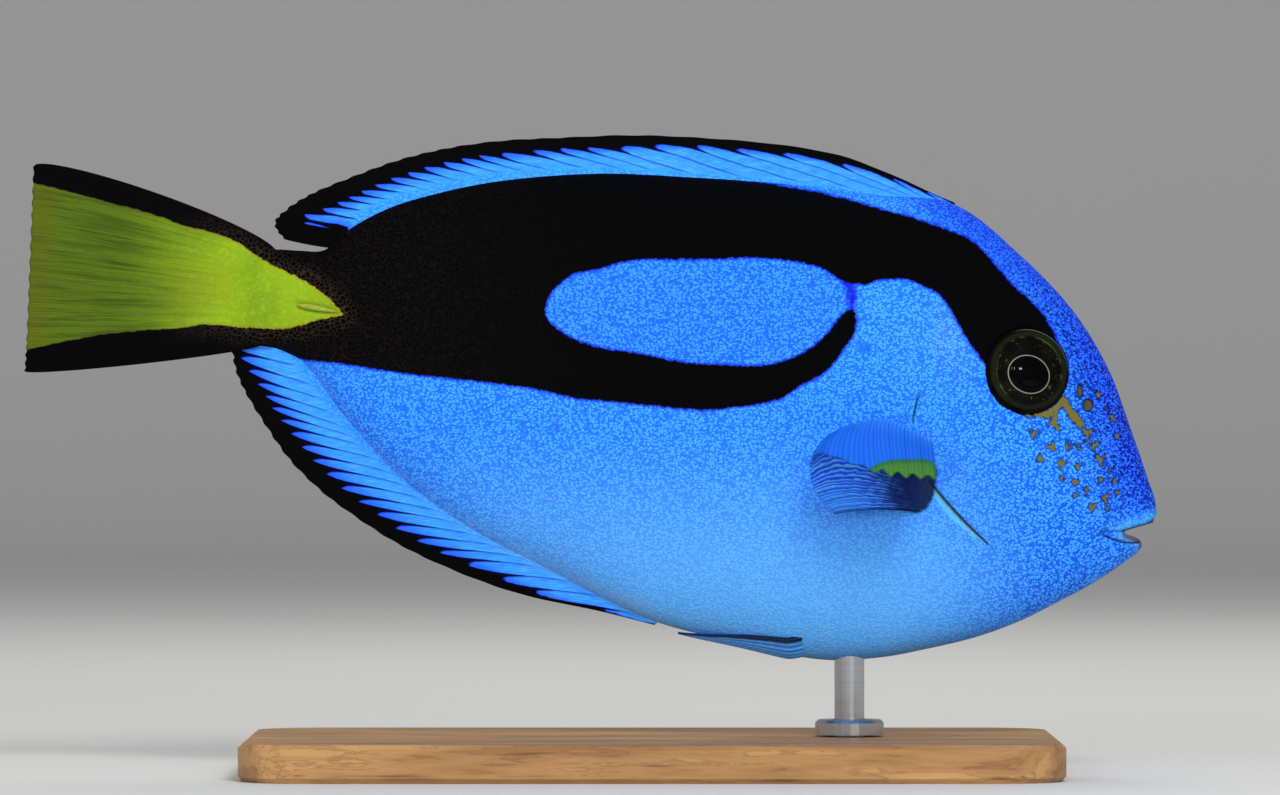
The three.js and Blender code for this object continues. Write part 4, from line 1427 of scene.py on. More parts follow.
@dataclass(frozen=True)
class TailFinish:
    """The tail fin: a yellow fan between two black arms."""

    rag_rate: float = 900.0

    def material(self) -> bpy.types.Material:
        """Builds the tail fin's material, with streaks that follow the rays.

        Returns:
            The material.
        """
        paint = Paint("tail_membrane", **WET_SKIN)
        places = paint.mirrored()
        ray, along = paint.layer("ray"), paint.layer("along")
        outer = along.step(0.15, 0.7)
        thin = (ray * 5).off_half().fade(0.0, 0.5) * outer
        fan = paint.node("ShaderNodeCombineXYZ", {}, {"X": ray * 2.6, "Y": along * 2.4})
        wide = paint.noise(fan, 1.0, 3.0, 0.6)
        fine = paint.noise(paint.stretched(fan, (3.0, 1.6, 1.0)), 1.0, 2.0, 0.6)
        streaks = (wide.step(0.44, 0.66) * 0.6 + fine.step(0.46, 0.7) * 0.35) * outer
        yellow = paint.layer("yellow") + (paint.noise(places, self.rag_rate) - 0.5) * 0.5
        in_wedge = yellow.step(-0.1, 0.15)
        wedge = paint.coats(
            wedge_yellow(paint, places, yellow),
            (COLOURS.sedge, outer * 0.9),
            (COLOURS.moss, streaks.least(0.85)),
            (COLOURS.tail_rim, along.step(0.86, 0.99) * 0.5),
        )
        dust = (yellow * -1).fade(0.3, 3.5) * along.fade(0.1, 0.5) * 0.9
        ridges = paint.relief((ray + 0.5).off_half().fade(0.0, 0.35) * outer, 0.05)
        return paint.finish(
            Base_Color=paint.blend(scaled_black(paint, places, dust), wedge, in_wedge),
            Roughness=0.5 + thin * 0.06,
            Coat_Weight=in_wedge * 0.15,
            Normal=paint.relief(thin, 0.03, ridges),
        )


@dataclass(frozen=True)
class Station:
    """One ray of a fin in the middle plane, that those between are spread from."""

    ray: float
    root: Place
    tip: Place
    bow: float = 0.0
    tooth: float = 3.0


@dataclass
class MedianFin:
    """A fin in the middle plane: rays run from a root line to an outer line.

    Between stations, a ray's ends move along both lines by their lengths.
    """

    name: str
    roots: Line
    edge: Line
    stations: tuple[Station, ...]
    root_thickness: float
    tip_thickness: float
    sink: Place
    blue: Line = ()
    slot: str = "long_fins"
    rows: int = 44
    per_ray: int = 10
    scallop: float = 0.3
    ridge: float = 0.16
    flare: float = 2.2
    sway: float = 0.0
    buried: float = 0.08

    def read_line(self, line: Line, ends: list[Place], share: np.ndarray) -> np.ndarray:
        """Reads the rays' ends on a line.

        Each station's end gives a length along the line, that of its nearest place. Between two
        stations the length follows a curve through theirs.

        Args:
            line: The line's places.
            ends: The stations' ends.
            share: Where across the fin, 0 at the first ray and 1 at the last.

        Returns:
            The places.
        """
        curve = spline(np.array(line), np.linspace(0, 1, 1600))
        gaps = np.linalg.norm(np.diff(curve, axis=0), axis=1)
        length = np.concatenate([[0], np.cumsum(gaps)])
        apart = np.linalg.norm(curve[None] - np.array(ends)[:, None], axis=-1)
        knots = length[np.argmin(apart, axis=1)]
        rays = [station.ray for station in self.stations]
        steps = np.arange(rays[-1] + 1)
        found = spline(np.stack([steps, np.interp(steps, rays, knots)], axis=-1), share)[..., 1]
        return np.stack([np.interp(found, length, curve[:, k]) for k in (0, 1)], axis=-1)

    def between(self, values: list[float], u: np.ndarray) -> np.ndarray:
        """One value per station, read in straight shares between them."""
        rays = [station.ray for station in self.stations]
        return np.interp(u * rays[-1], rays, values)

    def middle(self, u: np.ndarray, v: np.ndarray) -> np.ndarray:
        """Spans the fin's middle surface.

        Each ray runs from root to tip in a straight share, plus a bow upwards that goes with the
        root of share times what is left, less a scallop between the tips. The first rows sink
        into the body.

        Args:
            u: Where across the fin, 0 at the first ray and 1 at the last.
            v: Where along the ray, 0 inside the body and 1 at the tip.

        Returns:
            The places.
        """
        root = self.read_line(self.roots, [s.root for s in self.stations], u)
        tip = self.read_line(self.edge, [s.tip for s in self.stations], u)
        share = np.clip((v - self.buried) / (1 - self.buried), 0, 1)[..., None]
        sunk = np.clip(1 - v / self.buried, 0, 1)[..., None] * np.array(self.sink)
        length = np.linalg.norm(tip - root, axis=-1, keepdims=True)
        phase = (u * self.stations[-1].ray)[..., None]
        notch = self.scallop * np.sin(np.pi * phase) ** 2 * share**4 / np.maximum(length, 1)
        flat = root + (tip - root) * (share * (1 - notch)) + sunk
        bow = self.between([s.bow for s in self.stations], u)[..., None]
        flat = flat + np.array([0, 1.0]) * bow * 2 * np.sqrt(share * (1 - share))
        return np.stack([flat[..., 0], np.zeros(flat.shape[:-1]), flat[..., 1]], axis=-1)

    def thickness(self, u: np.ndarray, v: np.ndarray) -> np.ndarray:
        """Thins the sheet from root to tip by the root of the share.

        A flare at the body and a round ridge on each ray, from a little way out, come on top.

        Args:
            u: Where across the fin, 0 at the first ray and 1 at the last.
            v: Where along the ray, 0 inside the body and 1 at the tip.

        Returns:
            The thickness.
        """
        sheet = self.root_thickness + (self.tip_thickness - self.root_thickness) * np.sqrt(v)
        flare = self.flare * np.exp(-np.maximum(v - self.buried, 0) / 0.09)
        ridge = self.ridge * ease(v, self.buried, self.buried + 0.3) * (1 - v) ** 0.6
        return sheet * 0.55 + flare + ridge * hump(off_ray(u * self.stations[-1].ray), 0.16)

    def layers(self, u: np.ndarray, v: np.ndarray, middle: np.ndarray) -> dict[str, np.ndarray]:
        """Measures all that the finish reads.

        Args:
            u: Where across the fin, 0 at the first ray and 1 at the last.
            v: Where along the ray, 0 inside the body and 1 at the tip.
            middle: The middle surface.

        Returns:
            Distances in millimetres and shares, by name.
        """
        x, z = middle[..., 0], middle[..., 2]
        layers = {"ray": u * self.stations[-1].ray}
        if not self.blue:
            return layers | {"along": v, "yellow": depth_in(yellow_line(), x, z)}
        out = (v - self.buried) * np.linalg.norm(middle[-1] - middle[0], axis=-1)
        return layers | {
            "out": ease(out, 0.4, 3.2),
            "lined": ease(out, 0.8, 3.5),
            "belly": belly_share(x, z),
            "tooth": self.between([s.tooth for s in self.stations], u),
            "sway": np.full(u.shape, self.sway),
            "inner": depth_in(smooth_line(self.blue, closed=True), x, z),
        }

    def build(self, material: bpy.types.Material) -> bpy.types.Object:
        """Makes the fin and dresses it.

        Args:
            material: Its finish.

        Returns:
            The piece, in the place of the node of the same name.
        """
        columns = int(self.stations[-1].ray) * self.per_ray + 1
        u, v = np.meshgrid(np.linspace(0, 1, columns), np.linspace(0, 1, self.rows))
        middle = self.middle(u, v)
        thick = self.thickness(u, v)[..., None] * np.array([0, 0.5, 0])
        across = middle[1, 1] - middle[1, 0]
        along = middle[-1, 0] - middle[1, 0]
        sign = np.sign(np.cross(across, along)[1]) or 1
        sides = [middle + sign * thick, middle - sign * thick]
        piece = write_sheet(self.name, sides, material, self.layers(u, v, middle))
        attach(piece, "root")
        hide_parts(self.name)
        return piece


@dataclass
class PectoralFin:
    """A cupped fan whose rays rise to a crest and curl outwards, down to their tips."""

    roots: Line = (
        (54.1, 30.9), (54.0, 29.2), (54.0, 27.5), (54.2, 25.6), (54.6, 23.8),
    )
    crests: tuple[tuple[float, float, float], ...] = (
        (54.1, 35.2, 6), (46.6, 38.5, 8), (42.0, 36.4, 9), (43.2, 29.2, 5), (45.4, 24.4, 3),
    )
    tips: tuple[tuple[float, float, float], ...] = (
        (54.4, 29.4, 19), (46.2, 30.1, 20), (35.8, 33.2, 14), (35.4, 28.2, 8), (38.9, 23.7, 4),
    )
    rag_rate: float = 700.0
    flank_reach: float = 11.7
    sink: float = 2.4
    rays: int = 15
    per_ray: int = 14
    rows: int = 64

    def middle(self, u: np.ndarray, v: np.ndarray) -> np.ndarray:
        """Spans the right fin's middle surface.

        Each ray is a parabola through root, crest and tip, all three read from curves across the
        fan, with a ripple that grows outwards.

        Args:
            u: Where across the fan, 0 at the uppermost ray and 1 at the lowest.
            v: Where along the ray, 0 inside the body and 1 at the tip.

        Returns:
            The places.
        """
        roots = np.array([(x, z, -self.sink) for x, z in self.roots])
        a, b, c = (spline(np.array(p, float), u) for p in (roots, self.crests, self.tips))
        control = 2 * b - (a + c) / 2
        s = v[..., None]
        ray = a * (1 - s) ** 2 + 2 * control * s * (1 - s) + c * s**2
        ripple = 0.16 * np.sin(2 * np.pi * (u * (self.rays - 1))) * v**2
        out = self.flank_reach + ray[..., 2] + ripple
        return np.stack([ray[..., 0], -out, ray[..., 1]], axis=-1)

    def build(self, flank: Flank, material: bpy.types.Material) -> bpy.types.Object:
        """Makes the fin of one flank and dresses it.

        Args:
            flank: The side that it is on.
            material: Its finish.

        Returns:
            The piece, in the place of the node of the same name.
        """
        columns = (self.rays - 1) * self.per_ray + 1
        u, v = np.meshgrid(np.linspace(0, 1, columns), np.linspace(0, 1, self.rows))
        phase = u * (self.rays - 1)
        deep = 0.026 - 0.02 * ease(u, 0.25, 0.4)
        notch = deep * np.sin(np.pi * phase) ** 2 * v**6
        middle = self.middle(u, v * (1 - notch))
        ridge = 0.35 * hump(off_ray(phase), 0.2) * (1 - v) ** 0.5
        offset = grid_normals(middle) * ((0.85 - 0.45 * np.sqrt(v) + ridge) / 2)[..., None]
        mirror = [1, -flank.value, 1]
        sides = [(middle + offset) * mirror, (middle - offset) * mirror]
        patch = smooth_line(PECTORAL_PATCH, closed=True)
        layers = {
            "ray": phase,
            "along": v,
            "fan": u,
            "patch": depth_in(patch, middle[..., 0], middle[..., 2]),
        }
        name = f"pectoral_fin_{flank.word}"
        piece = write_sheet(name, sides, material, layers, flank is Flank.LEFT)
        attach(piece, "root")
        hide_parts(name)
        return piece

    def material(self) -> bpy.types.Material:
        """Builds the fin's material.

        It is blue with fine rays, and yellow-green where the tips curl down. Light and shade are
        painted in: a lighter band along the lit crest, bright highlights on the ridges below, and a
        dark shadow at the root.

        Returns:
            The material.
        """
        paint = Paint(
            "pectoral_membrane", Coat_Roughness=0.25, Coat_Weight=0.1, IOR=1.4,
            Specular_IOR_Level=0.1,
        )
        ray, along, fan = paint.layer("ray"), paint.layer("along"), paint.layer("fan")
        ragged = paint.noise(paint.mirrored(), self.rag_rate) - 0.5
        thin = (ray * 4).off_half().fade(0.0, 0.45)
        # where painted light lays a lighter band along the fin's lit crest
        crest = abs(along - 0.5).fade(0.03, 0.14)
        stripe = (ray * 3 + ragged * 1.2).off_half()
        # painted highlights: bright stripes where the ridges of the lower lobe catch the light
        ridge_highlight = stripe.fade(0.05, 0.4) * (ragged * 1.6 + 0.85)
        tip = fan.step(0.7, 1.0) * along.step(0.35, 0.9)
        lower = paint.coats(COLOURS.cobalt, (COLOURS.ridge_highlight_blue, ridge_highlight), (COLOURS.azure, tip * 0.6))
        # painted shadow: dark navy on the inner part of the rays near the root, under the curled
        # tips
        root_shadow = (along + ragged * 0.3 - fan * 0.06).fade(0.12, 0.5)
        depth = paint.layer("patch")
        patch = (depth + ragged * 0.5).step(-0.1, 0.6) * along.step(0.6, 0.7)
        green = paint.coats(
            COLOURS.leaf_rim, (COLOURS.leaf, depth.step(0.2, 1.4)), (COLOURS.leaf_ray, thin * 0.35)
        )
        colour = paint.coats(
            COLOURS.fan_root,
            (COLOURS.fan_outer, along.step(0.55, 0.8)),
            (COLOURS.crest_highlight, crest * 0.8),
            (COLOURS.fan_ray, thin * (0.45 + crest * 0.15)),
            (lower, (fan + ragged * 0.08).step(0.5, 0.66)),
            (COLOURS.root_shadow_navy, root_shadow * 0.92),
            (COLOURS.navy, fan.step(0.965, 0.99) * 0.7),
            (green, patch * fan.fade(0.5, 0.55)),
        )
        ridges = paint.relief((ray + 0.5).off_half().fade(0.0, 0.35), 0.08)
        return paint.finish(
            Base_Color=colour,
            Roughness=0.45 + thin * 0.1,
            Normal=paint.relief(thin, 0.05, ridges),
        )


@dataclass
class PelvicFin:
    """A folded blade along the belly, an offset patch of the body's own surface."""

    start: float = 0.43
    end: float = 0.511
    upper: float = 0.42
    lower: float = 0.08
    rays: int = 6
    per_ray: int = 8
    rows: int = 60

    def build(self, flank: Flank, material: bpy.types.Material) -> bpy.types.Object:
        """Makes the fin of one flank and dresses it.

        Angles up from the keel narrow with the square of the way along, and the patch rises from
        inside the skin to a little over it.

        Args:
            flank: The side that it is on.
            material: Its finish.

        Returns:
            The piece, in the place of the node of the same name.
        """
        columns = (self.rays - 1) * self.per_ray + 1
        u, v = np.meshgrid(np.linspace(0, 1, columns), np.linspace(0, 1, self.rows))
        upper = self.upper + (self.lower + 0.03 - self.upper) * v**2
        angle = math.pi - (upper + (self.lower - upper) * u)
        t = self.start + (self.end - self.start) * v
        rise = ease(v, 0, 0.25)
        phase = u * (self.rays - 1)
        thick = 0.5 - 0.3 * v + 0.2 * hump(off_ray(phase), 0.22) * (1 - v)
        middle = BODY.surface(t, flank.value * angle)
        away = BODY.surface(t, flank.value * angle, 1.0) - middle
        away /= np.linalg.norm(away, axis=-1, keepdims=True)
        lift = -0.9 + rise * 1.45 + 0.35 * v
        sides = [middle + away * (lift + face * thick / 2)[..., None] for face in (1, -1)]
        corner = sides[0][0, 0]
        out = np.cross(sides[0][0, 1] - corner, sides[0][1, 0] - corner)
        flip = np.dot(out, corner - sides[1][0, 0]) < 0
        name = f"pelvic_fin_{flank.word}"
        piece = write_sheet(name, sides, material, {"ray": phase, "along": v, "fan": u}, flip)
        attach(piece, "root")
        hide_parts(name)
        return piece

    def material(self) -> bpy.types.Material:
        """Builds the fin's material, the flank's azure with fine rays and a black upper edge.

        Returns:
            The material.
        """
        paint = Paint("pelvic_membrane", Coat_Weight=0.15, IOR=1.4, Specular_IOR_Level=0.3)
        ray, along, fan = paint.layer("ray"), paint.layer("along"), paint.layer("fan")
        near = (ray + 0.5).off_half()
        places = paint.mirrored()
        flank, dome = scaled_blue(paint, places, 0.4)
        edge = (fan + paint.noise(places, 400.0) * 0.1).fade(0.1, 0.26)
        colour = paint.coats(
            flank,
            # paler all over, and a little more on the scales' tops as painted highlight
            (COLOURS.pale, 0.25 + dome * 0.1),
            (COLOURS.pit, near.fade(0.0, 0.3) * 0.6),
            (COLOURS.black, edge.most(along.step(0.9, 1.0)) * 0.95),
        )
        normal = paint.relief(near.fade(0.0, 0.4), 0.08)
        return paint.finish(Base_Color=colour, Roughness=0.45 + near * 0.1, Normal=normal)


@dataclass
class Eye:
    """An eyeball that stands a little out of its socket, with a raised ring round the pupil."""

    lens_shift: Place = (-0.3, -0.74)
    lens_turn: float = math.radians(-20)
    lens_halves: tuple[float, float] = (3.36, 2.93)
    fleck_rate: float = 1700.0
    cloud_rate: float = 320.0
    depth: float = 3.7
    sink: float = 1.7
    pupil: float = 3.15
    rows: int = 120
    columns: int = 128

    def build(self, flank: Flank, material: bpy.types.Material) -> bpy.types.Object:
        """Turns a profile round the eye's axis and dresses it.

        The profile is the side of an ellipsoid, with a low ring at the pupil's edge and a mound
        for the lens inside it.

        Args:
            flank: The side that it is on.
            material: Its finish.

        Returns:
            The piece, in the place of the eye's node.
        """
        full = EYE_RADIUS / math.sqrt(1 - (self.sink / self.depth) ** 2) - 0.12
        polar = np.linspace(0, math.pi, self.rows + 2)[1:-1]
        reach = full * np.sin(polar)
        dome = 0.07 * hump(reach - self.pupil, 0.22) + 0.1 * (1 - ease(reach, 0, self.pupil))
        dome = dome + 0.1 * hump(reach - 6.0, 0.35)
        height = self.depth * np.cos(polar) - self.sink + np.where(polar < math.pi / 2, dome, 0)
        centre, axis = BODY.on_skin(*EYE_PLACE, flank), BODY.normal_at(EYE_PLACE, flank)
        grid, across, up = rings_round(centre, axis, height, reach, self.columns)
        ends = np.array([[self.depth - self.sink + 0.1], [-(self.depth + self.sink)]])
        poles = centre + ends * axis
        offset = np.vstack([poles[:1], grid.reshape(-1, 3), poles[1:]]) - centre
        forwards = across * np.sign(across[0])
        layers = {"iris_x": offset @ forwards, "iris_z": offset @ up}
        piece = write_rings(f"eyeball_{flank.word}", grid, poles, material, layers)
        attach(piece, "root")
        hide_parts(f"eye_{flank.word}")
        return piece

    def material(self) -> bpy.types.Material:
        """Builds the eye's material.

        It has a black pupil in a thin silver ring, and a near-black olive iris with gold flecks
        and a greenish rim, with a thin painted highlight arc on the rim's upper front.

        Returns:
            The material.
        """
        paint = Paint(
            "eye_glass", Coat_Weight=0.1, Coat_Roughness=0.03, IOR=1.35, Specular_IOR_Level=0.02
        )
        x, z = paint.layer("iris_x"), paint.layer("iris_z")
        reach = (x * x + z * z) ** 0.5
        cos, sin = math.cos(self.lens_turn), math.sin(self.lens_turn)
        from_x, from_z = x - self.lens_shift[0], z - self.lens_shift[1]
        long = (from_x * cos + from_z * sin) / self.lens_halves[0]
        short = (from_z * cos - from_x * sin) / self.lens_halves[1]
        lens = (long**2 + short**2) ** 0.5 * self.pupil
        places = paint.mirrored()
        flecks = paint.noise(places, self.fleck_rate, 3.0, 0.7)
        cloud = paint.noise(places, self.cloud_rate, 3.0)
        gold = flecks.step(0.6, 0.72) * abs(reach - 4.6).fade(0.4, 1.4)
        rim = abs(reach - 5.9).fade(0.1, 0.6) * (0.3 + cloud * 0.7)
        glint = abs(reach - 5.4).fade(0.04, 0.16) * cloud.step(0.45, 0.65)
        # painted highlight: a thin light arc on the rim's upper front
        rim_highlight = abs(reach - 6.62).fade(0.03, 0.12) * ((x * 0.6 + z * 0.8) / 6.6).step(0.5, 0.95)
        colour = paint.coats(
            COLOURS.iris,
            (COLOURS.iris_cloud, cloud.step(0.35, 0.7)),
            (COLOURS.iris_fleck, gold * 0.6),
            (COLOURS.iris_rim, rim),
            (COLOURS.iris_glint, glint * 0.5),
            (COLOURS.eye_edge, reach.step(6.3, 6.5)),
            (COLOURS.eye_rim_highlight, rim_highlight * 0.7),
            (COLOURS.pupil_ring, abs(lens - 3.2).fade(0.03, 0.12) * 0.8),
            (COLOURS.pupil, lens.fade(3.0, 3.1)),
        )
        return paint.finish(Base_Color=colour, Roughness=0.32 + flecks * 0.1)


@dataclass
class TailSpine:
    """The folding lancet on each side of the tail stalk."""

    radius: float = 0.5
    rows: int = 48
    columns: int = 24

    def build(self, flank: Flank, material: bpy.types.Material) -> bpy.types.Object:
        """Turns a lancet profile round the line from hinge to tip and dresses it.

        The radius is a power of the sine of a power of the way along, fullest near the hinge.

        Args:
            flank: The side that it is on.
            material: Its finish.

        Returns:
            The piece, in the place of the spine's node.
        """
        ends = BODY.on_skin(*np.array(SPINE_LINE).T, flank)
        length = np.linalg.norm(ends[1] - ends[0])
        axis = (ends[1] - ends[0]) / length
        share = np.linspace(0, 1, self.rows + 2)[1:-1]
        reach = np.sin(np.pi * share**0.7) ** 0.8 * self.radius
        grid, _, _ = rings_round(ends[0], axis, share * length, reach, self.columns)
        piece = write_rings(f"tail_lancet_{flank.word}", grid, ends, material, flip=True)
        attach(piece, "root")
        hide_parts(f"tail_spine_{flank.word}")
        return piece

    def material(self) -> bpy.types.Material:
        """Builds the spine's material, pale horn with a faint grain.

        Returns:
            The material.
        """
        paint = Paint("spine_horn", Coat_Weight=0.15, Coat_Roughness=0.2, Specular_IOR_Level=0.2)
        grain = paint.noise(paint.stretched(paint.places(), (1.0, 4.0, 4.0)), 700.0, 3.0)
        colour = paint.blend(COLOURS.horn, COLOURS.horn_pale, grain.step(0.35, 0.7))
        return paint.finish(Base_Color=colour, Roughness=0.3 + grain * 0.15)


@dataclass(frozen=True)
class StandFinish:
    """Oak for the base and brushed steel for the rod and its collar."""

    heartwood: str = "#8A6238"
    sapwood: str = "#B98E58"
    late_wood: str = "#6E4A28"
    pore: str = "#3E2814"
    dark_steel: str = "#B4B8BC"
    bright_steel: str = "#D4D6D8"

    def oak(self) -> bpy.types.Material:
        """Builds oak: long grain, rings seen edge on, and fine dark pores.

        Returns:
            The material.
        """
        paint = Paint("oak", Coat_Weight=0.15, Coat_Roughness=0.35)
        places = paint.places()
        warp = paint.noise(places, 14.0, 3.0)
        grain = paint.noise(paint.stretched(places, (3.0, 26.0, 26.0)), 9.0, 5.0, 0.6)
        pores = paint.noise(paint.stretched(places, (40.0, 900.0, 900.0)), 1.0, 3.0, 0.6)
        colour = paint.coats(
            self.heartwood,
            (self.sapwood, grain.step(0.3, 0.7)),
            (self.late_wood, (grain * 7 + warp * 2).fraction().step(0.75, 1.0) * 0.5),
            (self.pore, pores.step(0.6, 0.72) * 0.55),
        )
        normal = paint.relief(pores, 0.06)
        return paint.finish(Base_Color=colour, Roughness=0.42 + pores * 0.2, Normal=normal)

    def steel(self) -> bpy.types.Material:
        """Builds brushed steel: fine rings of scratches round the upright axis.

        Returns:
            The material.
        """
        paint = Paint("brushed_steel", Metallic=1.0)
        fine = paint.noise(paint.stretched(paint.places(), (60.0, 60.0, 5000.0)), 1.0)
        colour = paint.blend(self.dark_steel, self.bright_steel, fine)
        normal = paint.relief(fine, 0.01)
        return paint.finish(Base_Color=colour, Roughness=0.24 + fine * 0.16, Normal=normal)

    def dress(self) -> None:
        """Gives the stand's own nodes their finishes."""
        oak, steel = self.oak(), self.steel()
        for node, material, slot in (
            ("stand_base", oak, "stand_wood"),
            ("stand_collar", steel, "stand_metal"),
            ("stand_rod", steel, "stand_metal"),
        ):
            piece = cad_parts[node]
            piece.data.materials.clear()
            piece.data.materials.append(material)


@dataclass
class Studio:
    """Pale floor, soft lights and the camera square to the right flank, in metres."""

    distance: float = 1.4
    aim: Place = (0.0081, 0.0602)
    width: float = 0.2048
    sensor: float = 36.0
    paper: tuple[str, str] = ("#D0CFCB", "#D6D5D1")

    def floor(self) -> None:
        """A pale floor that turns up behind into a backdrop: a quarter circle joins the two."""
        turn = np.linspace(0, math.pi / 2, 24)
        radius, back, wide = 0.5, 1.9, 4.0
        y = np.concatenate([[-3.0], back + radius * np.sin(turn), [back + radius]])
        z = np.concatenate([[0.0], radius * (1 - np.cos(turn)), [3.5]])
        profile = np.stack([np.zeros_like(y), y, z], axis=-1)
        points = np.concatenate([profile + [-wide, 0, 0], profile + [wide, 0, 0]])
        count = len(y)
        i = np.arange(count - 1)
        faces = np.stack([i, i + count, i + count + 1, i + 1], axis=-1)
        mesh = bpy.data.meshes.new("floor")
        mesh.from_pydata(points.tolist(), [], faces.tolist())
        mesh.polygons.foreach_set("use_smooth", np.ones(len(faces), bool))
        piece = bpy.data.objects.new("floor", mesh)
        bpy.context.scene.collection.objects.link(piece)
        paint = Paint("floor_paper")
        cloud = paint.noise(paint.places(), 3.0)
        colour = paint.blend(*self.paper, cloud)
        piece.data.materials.append(paint.finish(Base_Color=colour, Roughness=0.8 + cloud * 0.1))

    def light(
        self, name: str, place: tuple[float, float, float], size: float, power: float
    ) -> bpy.types.Object:
        """Hangs a square soft light that faces the fish.

        Args:
            name: Its name.
            place: Where it hangs.
            size: The length of its sides.
            power: Its power in watts.

        Returns:
            The light.
        """
        data = bpy.data.lights.new(name, "AREA")
        data.size = size
        data.energy = power
        lamp = bpy.data.objects.new(name, data)
        lamp.location = place
        target = np.array([0.0, 0.0, 0.06]) - np.array(place)
        lamp.rotation_mode = "QUATERNION"
        lamp.rotation_quaternion = Vector(target).to_track_quat("-Z", "Y")
        lamp.visible_camera = False
        bpy.context.scene.collection.objects.link(lamp)
        return lamp

    def camera(self) -> None:
        """The camera looks along +y at the middle of the framing, its width set by the lens."""
        data = bpy.data.cameras.new("camera")
        data.sensor_width = self.sensor
        data.lens = self.sensor * self.distance / self.width
        data.clip_start, data.clip_end = 0.01, 20
        camera = bpy.data.objects.new("camera", data)
        camera.location = (self.aim[0], -self.distance, self.aim[1])
        camera.rotation_euler = (math.pi / 2, 0, 0)
        bpy.context.scene.collection.objects.link(camera)
        bpy.context.scene.camera = camera

    def build(self) -> None:
        """Sets up the floor, the lights, the world and the camera."""
        self.floor()
        for name, place, size, power, glossy in (
            ("key", (0.3, -0.95, 0.75), 0.35, 9.0, False),
            ("fill", (-0.45, -1.0, 0.2), 0.8, 6.0, False),
            ("rear", (0.1, 0.6, 0.8), 0.6, 3.5, False),
            ("eye_spark", (0.26, -0.9, 0.32), 0.05, 0.9, True),
        ):
            self.light(name, place, size, power).visible_glossy = glossy
        world = bpy.data.worlds.new("studio")
        world.use_nodes = True
        background = next(n for n in world.node_tree.nodes if n.type == "BACKGROUND")
        background.inputs["Color"].default_value = (0.92, 0.95, 1.0, 1.0)
        background.inputs["Strength"].default_value = 0.4
        bpy.context.scene.world = world
        bpy.context.scene.view_settings.view_transform = "Standard"
        self.camera()


DORSAL = MedianFin(
    name="dorsal_fin",
    roots=(
        (58.6, 72.9), (52.0, 73.7), (46.4, 74.6), (33.6, 76.3), (17.6, 77.6), (1.6, 78.4),
        (-14.4, 77.3), (-24.0, 75.5), (-32.0, 73.1), (-38.4, 69.6), (-41.6, 66.2),
    ),
    edge=(
        (58.4, 73.4), (54.5, 75.1), (50.4, 77.0), (46.4, 78.7), (40.0, 81.0), (30.4, 82.7),
        (17.6, 83.8), (6.4, 84.2), (-4.8, 83.8), (-14.4, 83.3), (-22.4, 82.2), (-30.4, 80.3),
        (-38.4, 77.4), (-45.0, 74.6), (-48.6, 72.3), (-50.4, 70.4), (-50.1, 69.0), (-48.9, 67.6),
    ),
    stations=(
        Station(0, (58.6, 72.9), (58.4, 73.4), tooth=0.6),
        Station(4, (52.0, 73.7), (23.2, 83.4), tooth=1.2),
        Station(8, (17.6, 77.6), (-2.9, 83.9), tooth=1.6),
        Station(12, (-4.8, 78.2), (-20.8, 82.4), tooth=2.2),
        Station(16, (-19.2, 76.5), (-32.3, 79.7), tooth=2.6),
        Station(20, (-30.4, 73.7), (-43.2, 75.4), tooth=3.0),
        Station(24, (-38.9, 69.2), (-49.4, 71.6), tooth=3.0),
        Station(28, (-41.6, 66.2), (-48.9, 67.6), bow=-0.2, tooth=2.4),
    ),
    root_thickness=1.3,
    tip_thickness=0.55,
    sink=(0.0, -2.2),
    blue=DORSAL_BLUE,
    sway=0.5,
    flare=1.1,
)

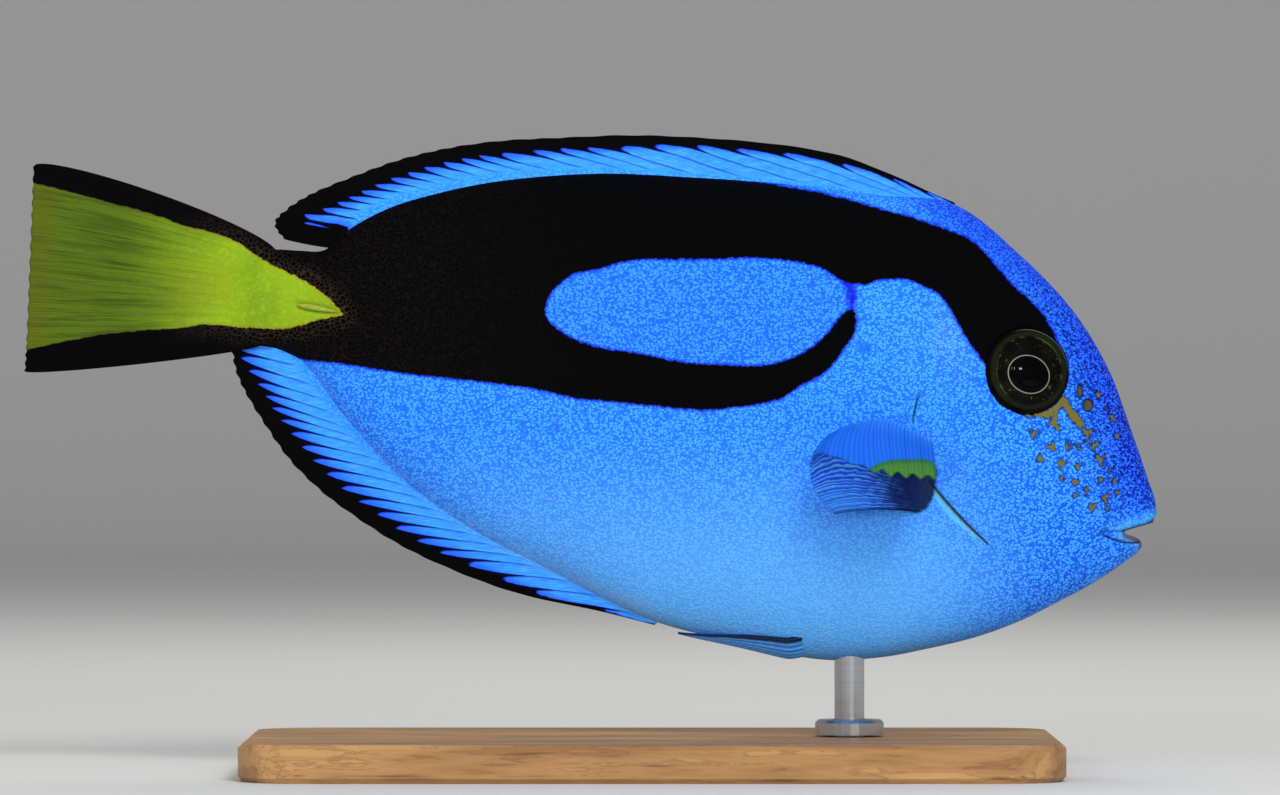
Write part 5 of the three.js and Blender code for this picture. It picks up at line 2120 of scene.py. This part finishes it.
ANAL = MedianFin(
    name="anal_fin",
    roots=(
        (11.0, 6.3), (6.4, 8.4), (1.6, 10.8), (-12.0, 17.2), (-20.5, 21.9), (-28.0, 27.5),
        (-35.0, 34.0), (-39.2, 38.9), (-43.0, 43.8), (-47.5, 49.8),
    ),
    edge=(
        (10.4, 5.8), (1.6, 8.0), (-10.9, 10.7), (-20.0, 13.8), (-30.4, 18.6), (-39.2, 24.3),
        (-43.2, 27.4), (-48.0, 32.2), (-52.0, 37.9), (-55.2, 43.2), (-56.7, 46.7), (-57.4, 51.0),
    ),
    stations=(
        Station(0, (11.0, 6.3), (10.4, 5.8), tooth=0.4),
        Station(1, (8.5, 7.4), (-8.0, 9.8), bow=0.1, tooth=0.8),
        Station(2, (3.0, 10.1), (-14.4, 11.8), bow=0.4, tooth=1.6),
        Station(4, (-7.0, 14.9), (-26.0, 16.4), bow=0.5, tooth=3.0),
        Station(8, (-20.5, 21.9), (-39.8, 24.8), bow=0.5, tooth=4.2),
        Station(11, (-28.0, 27.5), (-47.2, 31.4), bow=0.7, tooth=4.6),
        Station(14, (-35.0, 34.0), (-52.0, 38.0), bow=0.4, tooth=4.8),
        Station(16, (-37.6, 37.0), (-54.8, 42.6), bow=0.1, tooth=4.8),
        Station(19, (-43.0, 43.8), (-56.9, 48.0), bow=0.1, tooth=4.4),
        Station(21, (-47.5, 49.8), (-57.4, 51.0), bow=0.35, tooth=4.0),
    ),
    root_thickness=1.3,
    tip_thickness=0.55,
    sink=(1.3, 1.7),
    blue=ANAL_BLUE,
    per_ray=12,
    sway=0.2,
    flare=0.8,
)

TAIL = MedianFin(
    name="tail_fin",
    roots=((-50.2, 65.6), (-50.6, 62.6), (-51.2, 58.0), (-51.9, 53.6), (-52.5, 50.6)),
    edge=((-89.0, 79.1), (-89.3, 71.4), (-89.7, 61.4), (-90.1, 51.6), (-90.4, 46.4)),
    stations=(
        Station(0, (-50.2, 65.6), (-89.0, 79.1), bow=2.7),
        Station(4, (-50.6, 62.6), (-89.3, 71.4), bow=0.9),
        Station(8, (-51.2, 58.0), (-89.7, 61.4)),
        Station(12, (-51.9, 53.6), (-90.1, 51.6), bow=-0.5),
        Station(16, (-52.5, 50.6), (-90.4, 46.4), bow=-0.9),
    ),
    root_thickness=2.6,
    tip_thickness=0.55,
    sink=(2.0, 0.0),
    slot="tail_fin",
    rows=90,
    per_ray=14,
    scallop=0.2,
    ridge=0.22,
    flare=1.6,
    buried=0.05,
)


def main() -> None:
    """Builds the fish's pieces in order, dresses the stand and sets the studio."""
    logging.basicConfig(level=logging.INFO, format="%(name)s: %(message)s")
    pieces = [Skin().build()]
    membrane = FinFinish("long_fin_membrane").material()
    pieces.append(DORSAL.build(membrane))
    pieces.append(ANAL.build(membrane))
    pieces.append(TAIL.build(TailFinish().material()))
    for form in (PectoralFin(), PelvicFin(), Eye(), TailSpine()):
        material = form.material()
        pieces.extend(form.build(flank, material) for flank in Flank)
    for piece in pieces:
        log.info("%s: %d faces", piece.name, len(piece.data.polygons))
    StandFinish().dress()
    Studio().build()


if __name__ == "__main__":
    main()
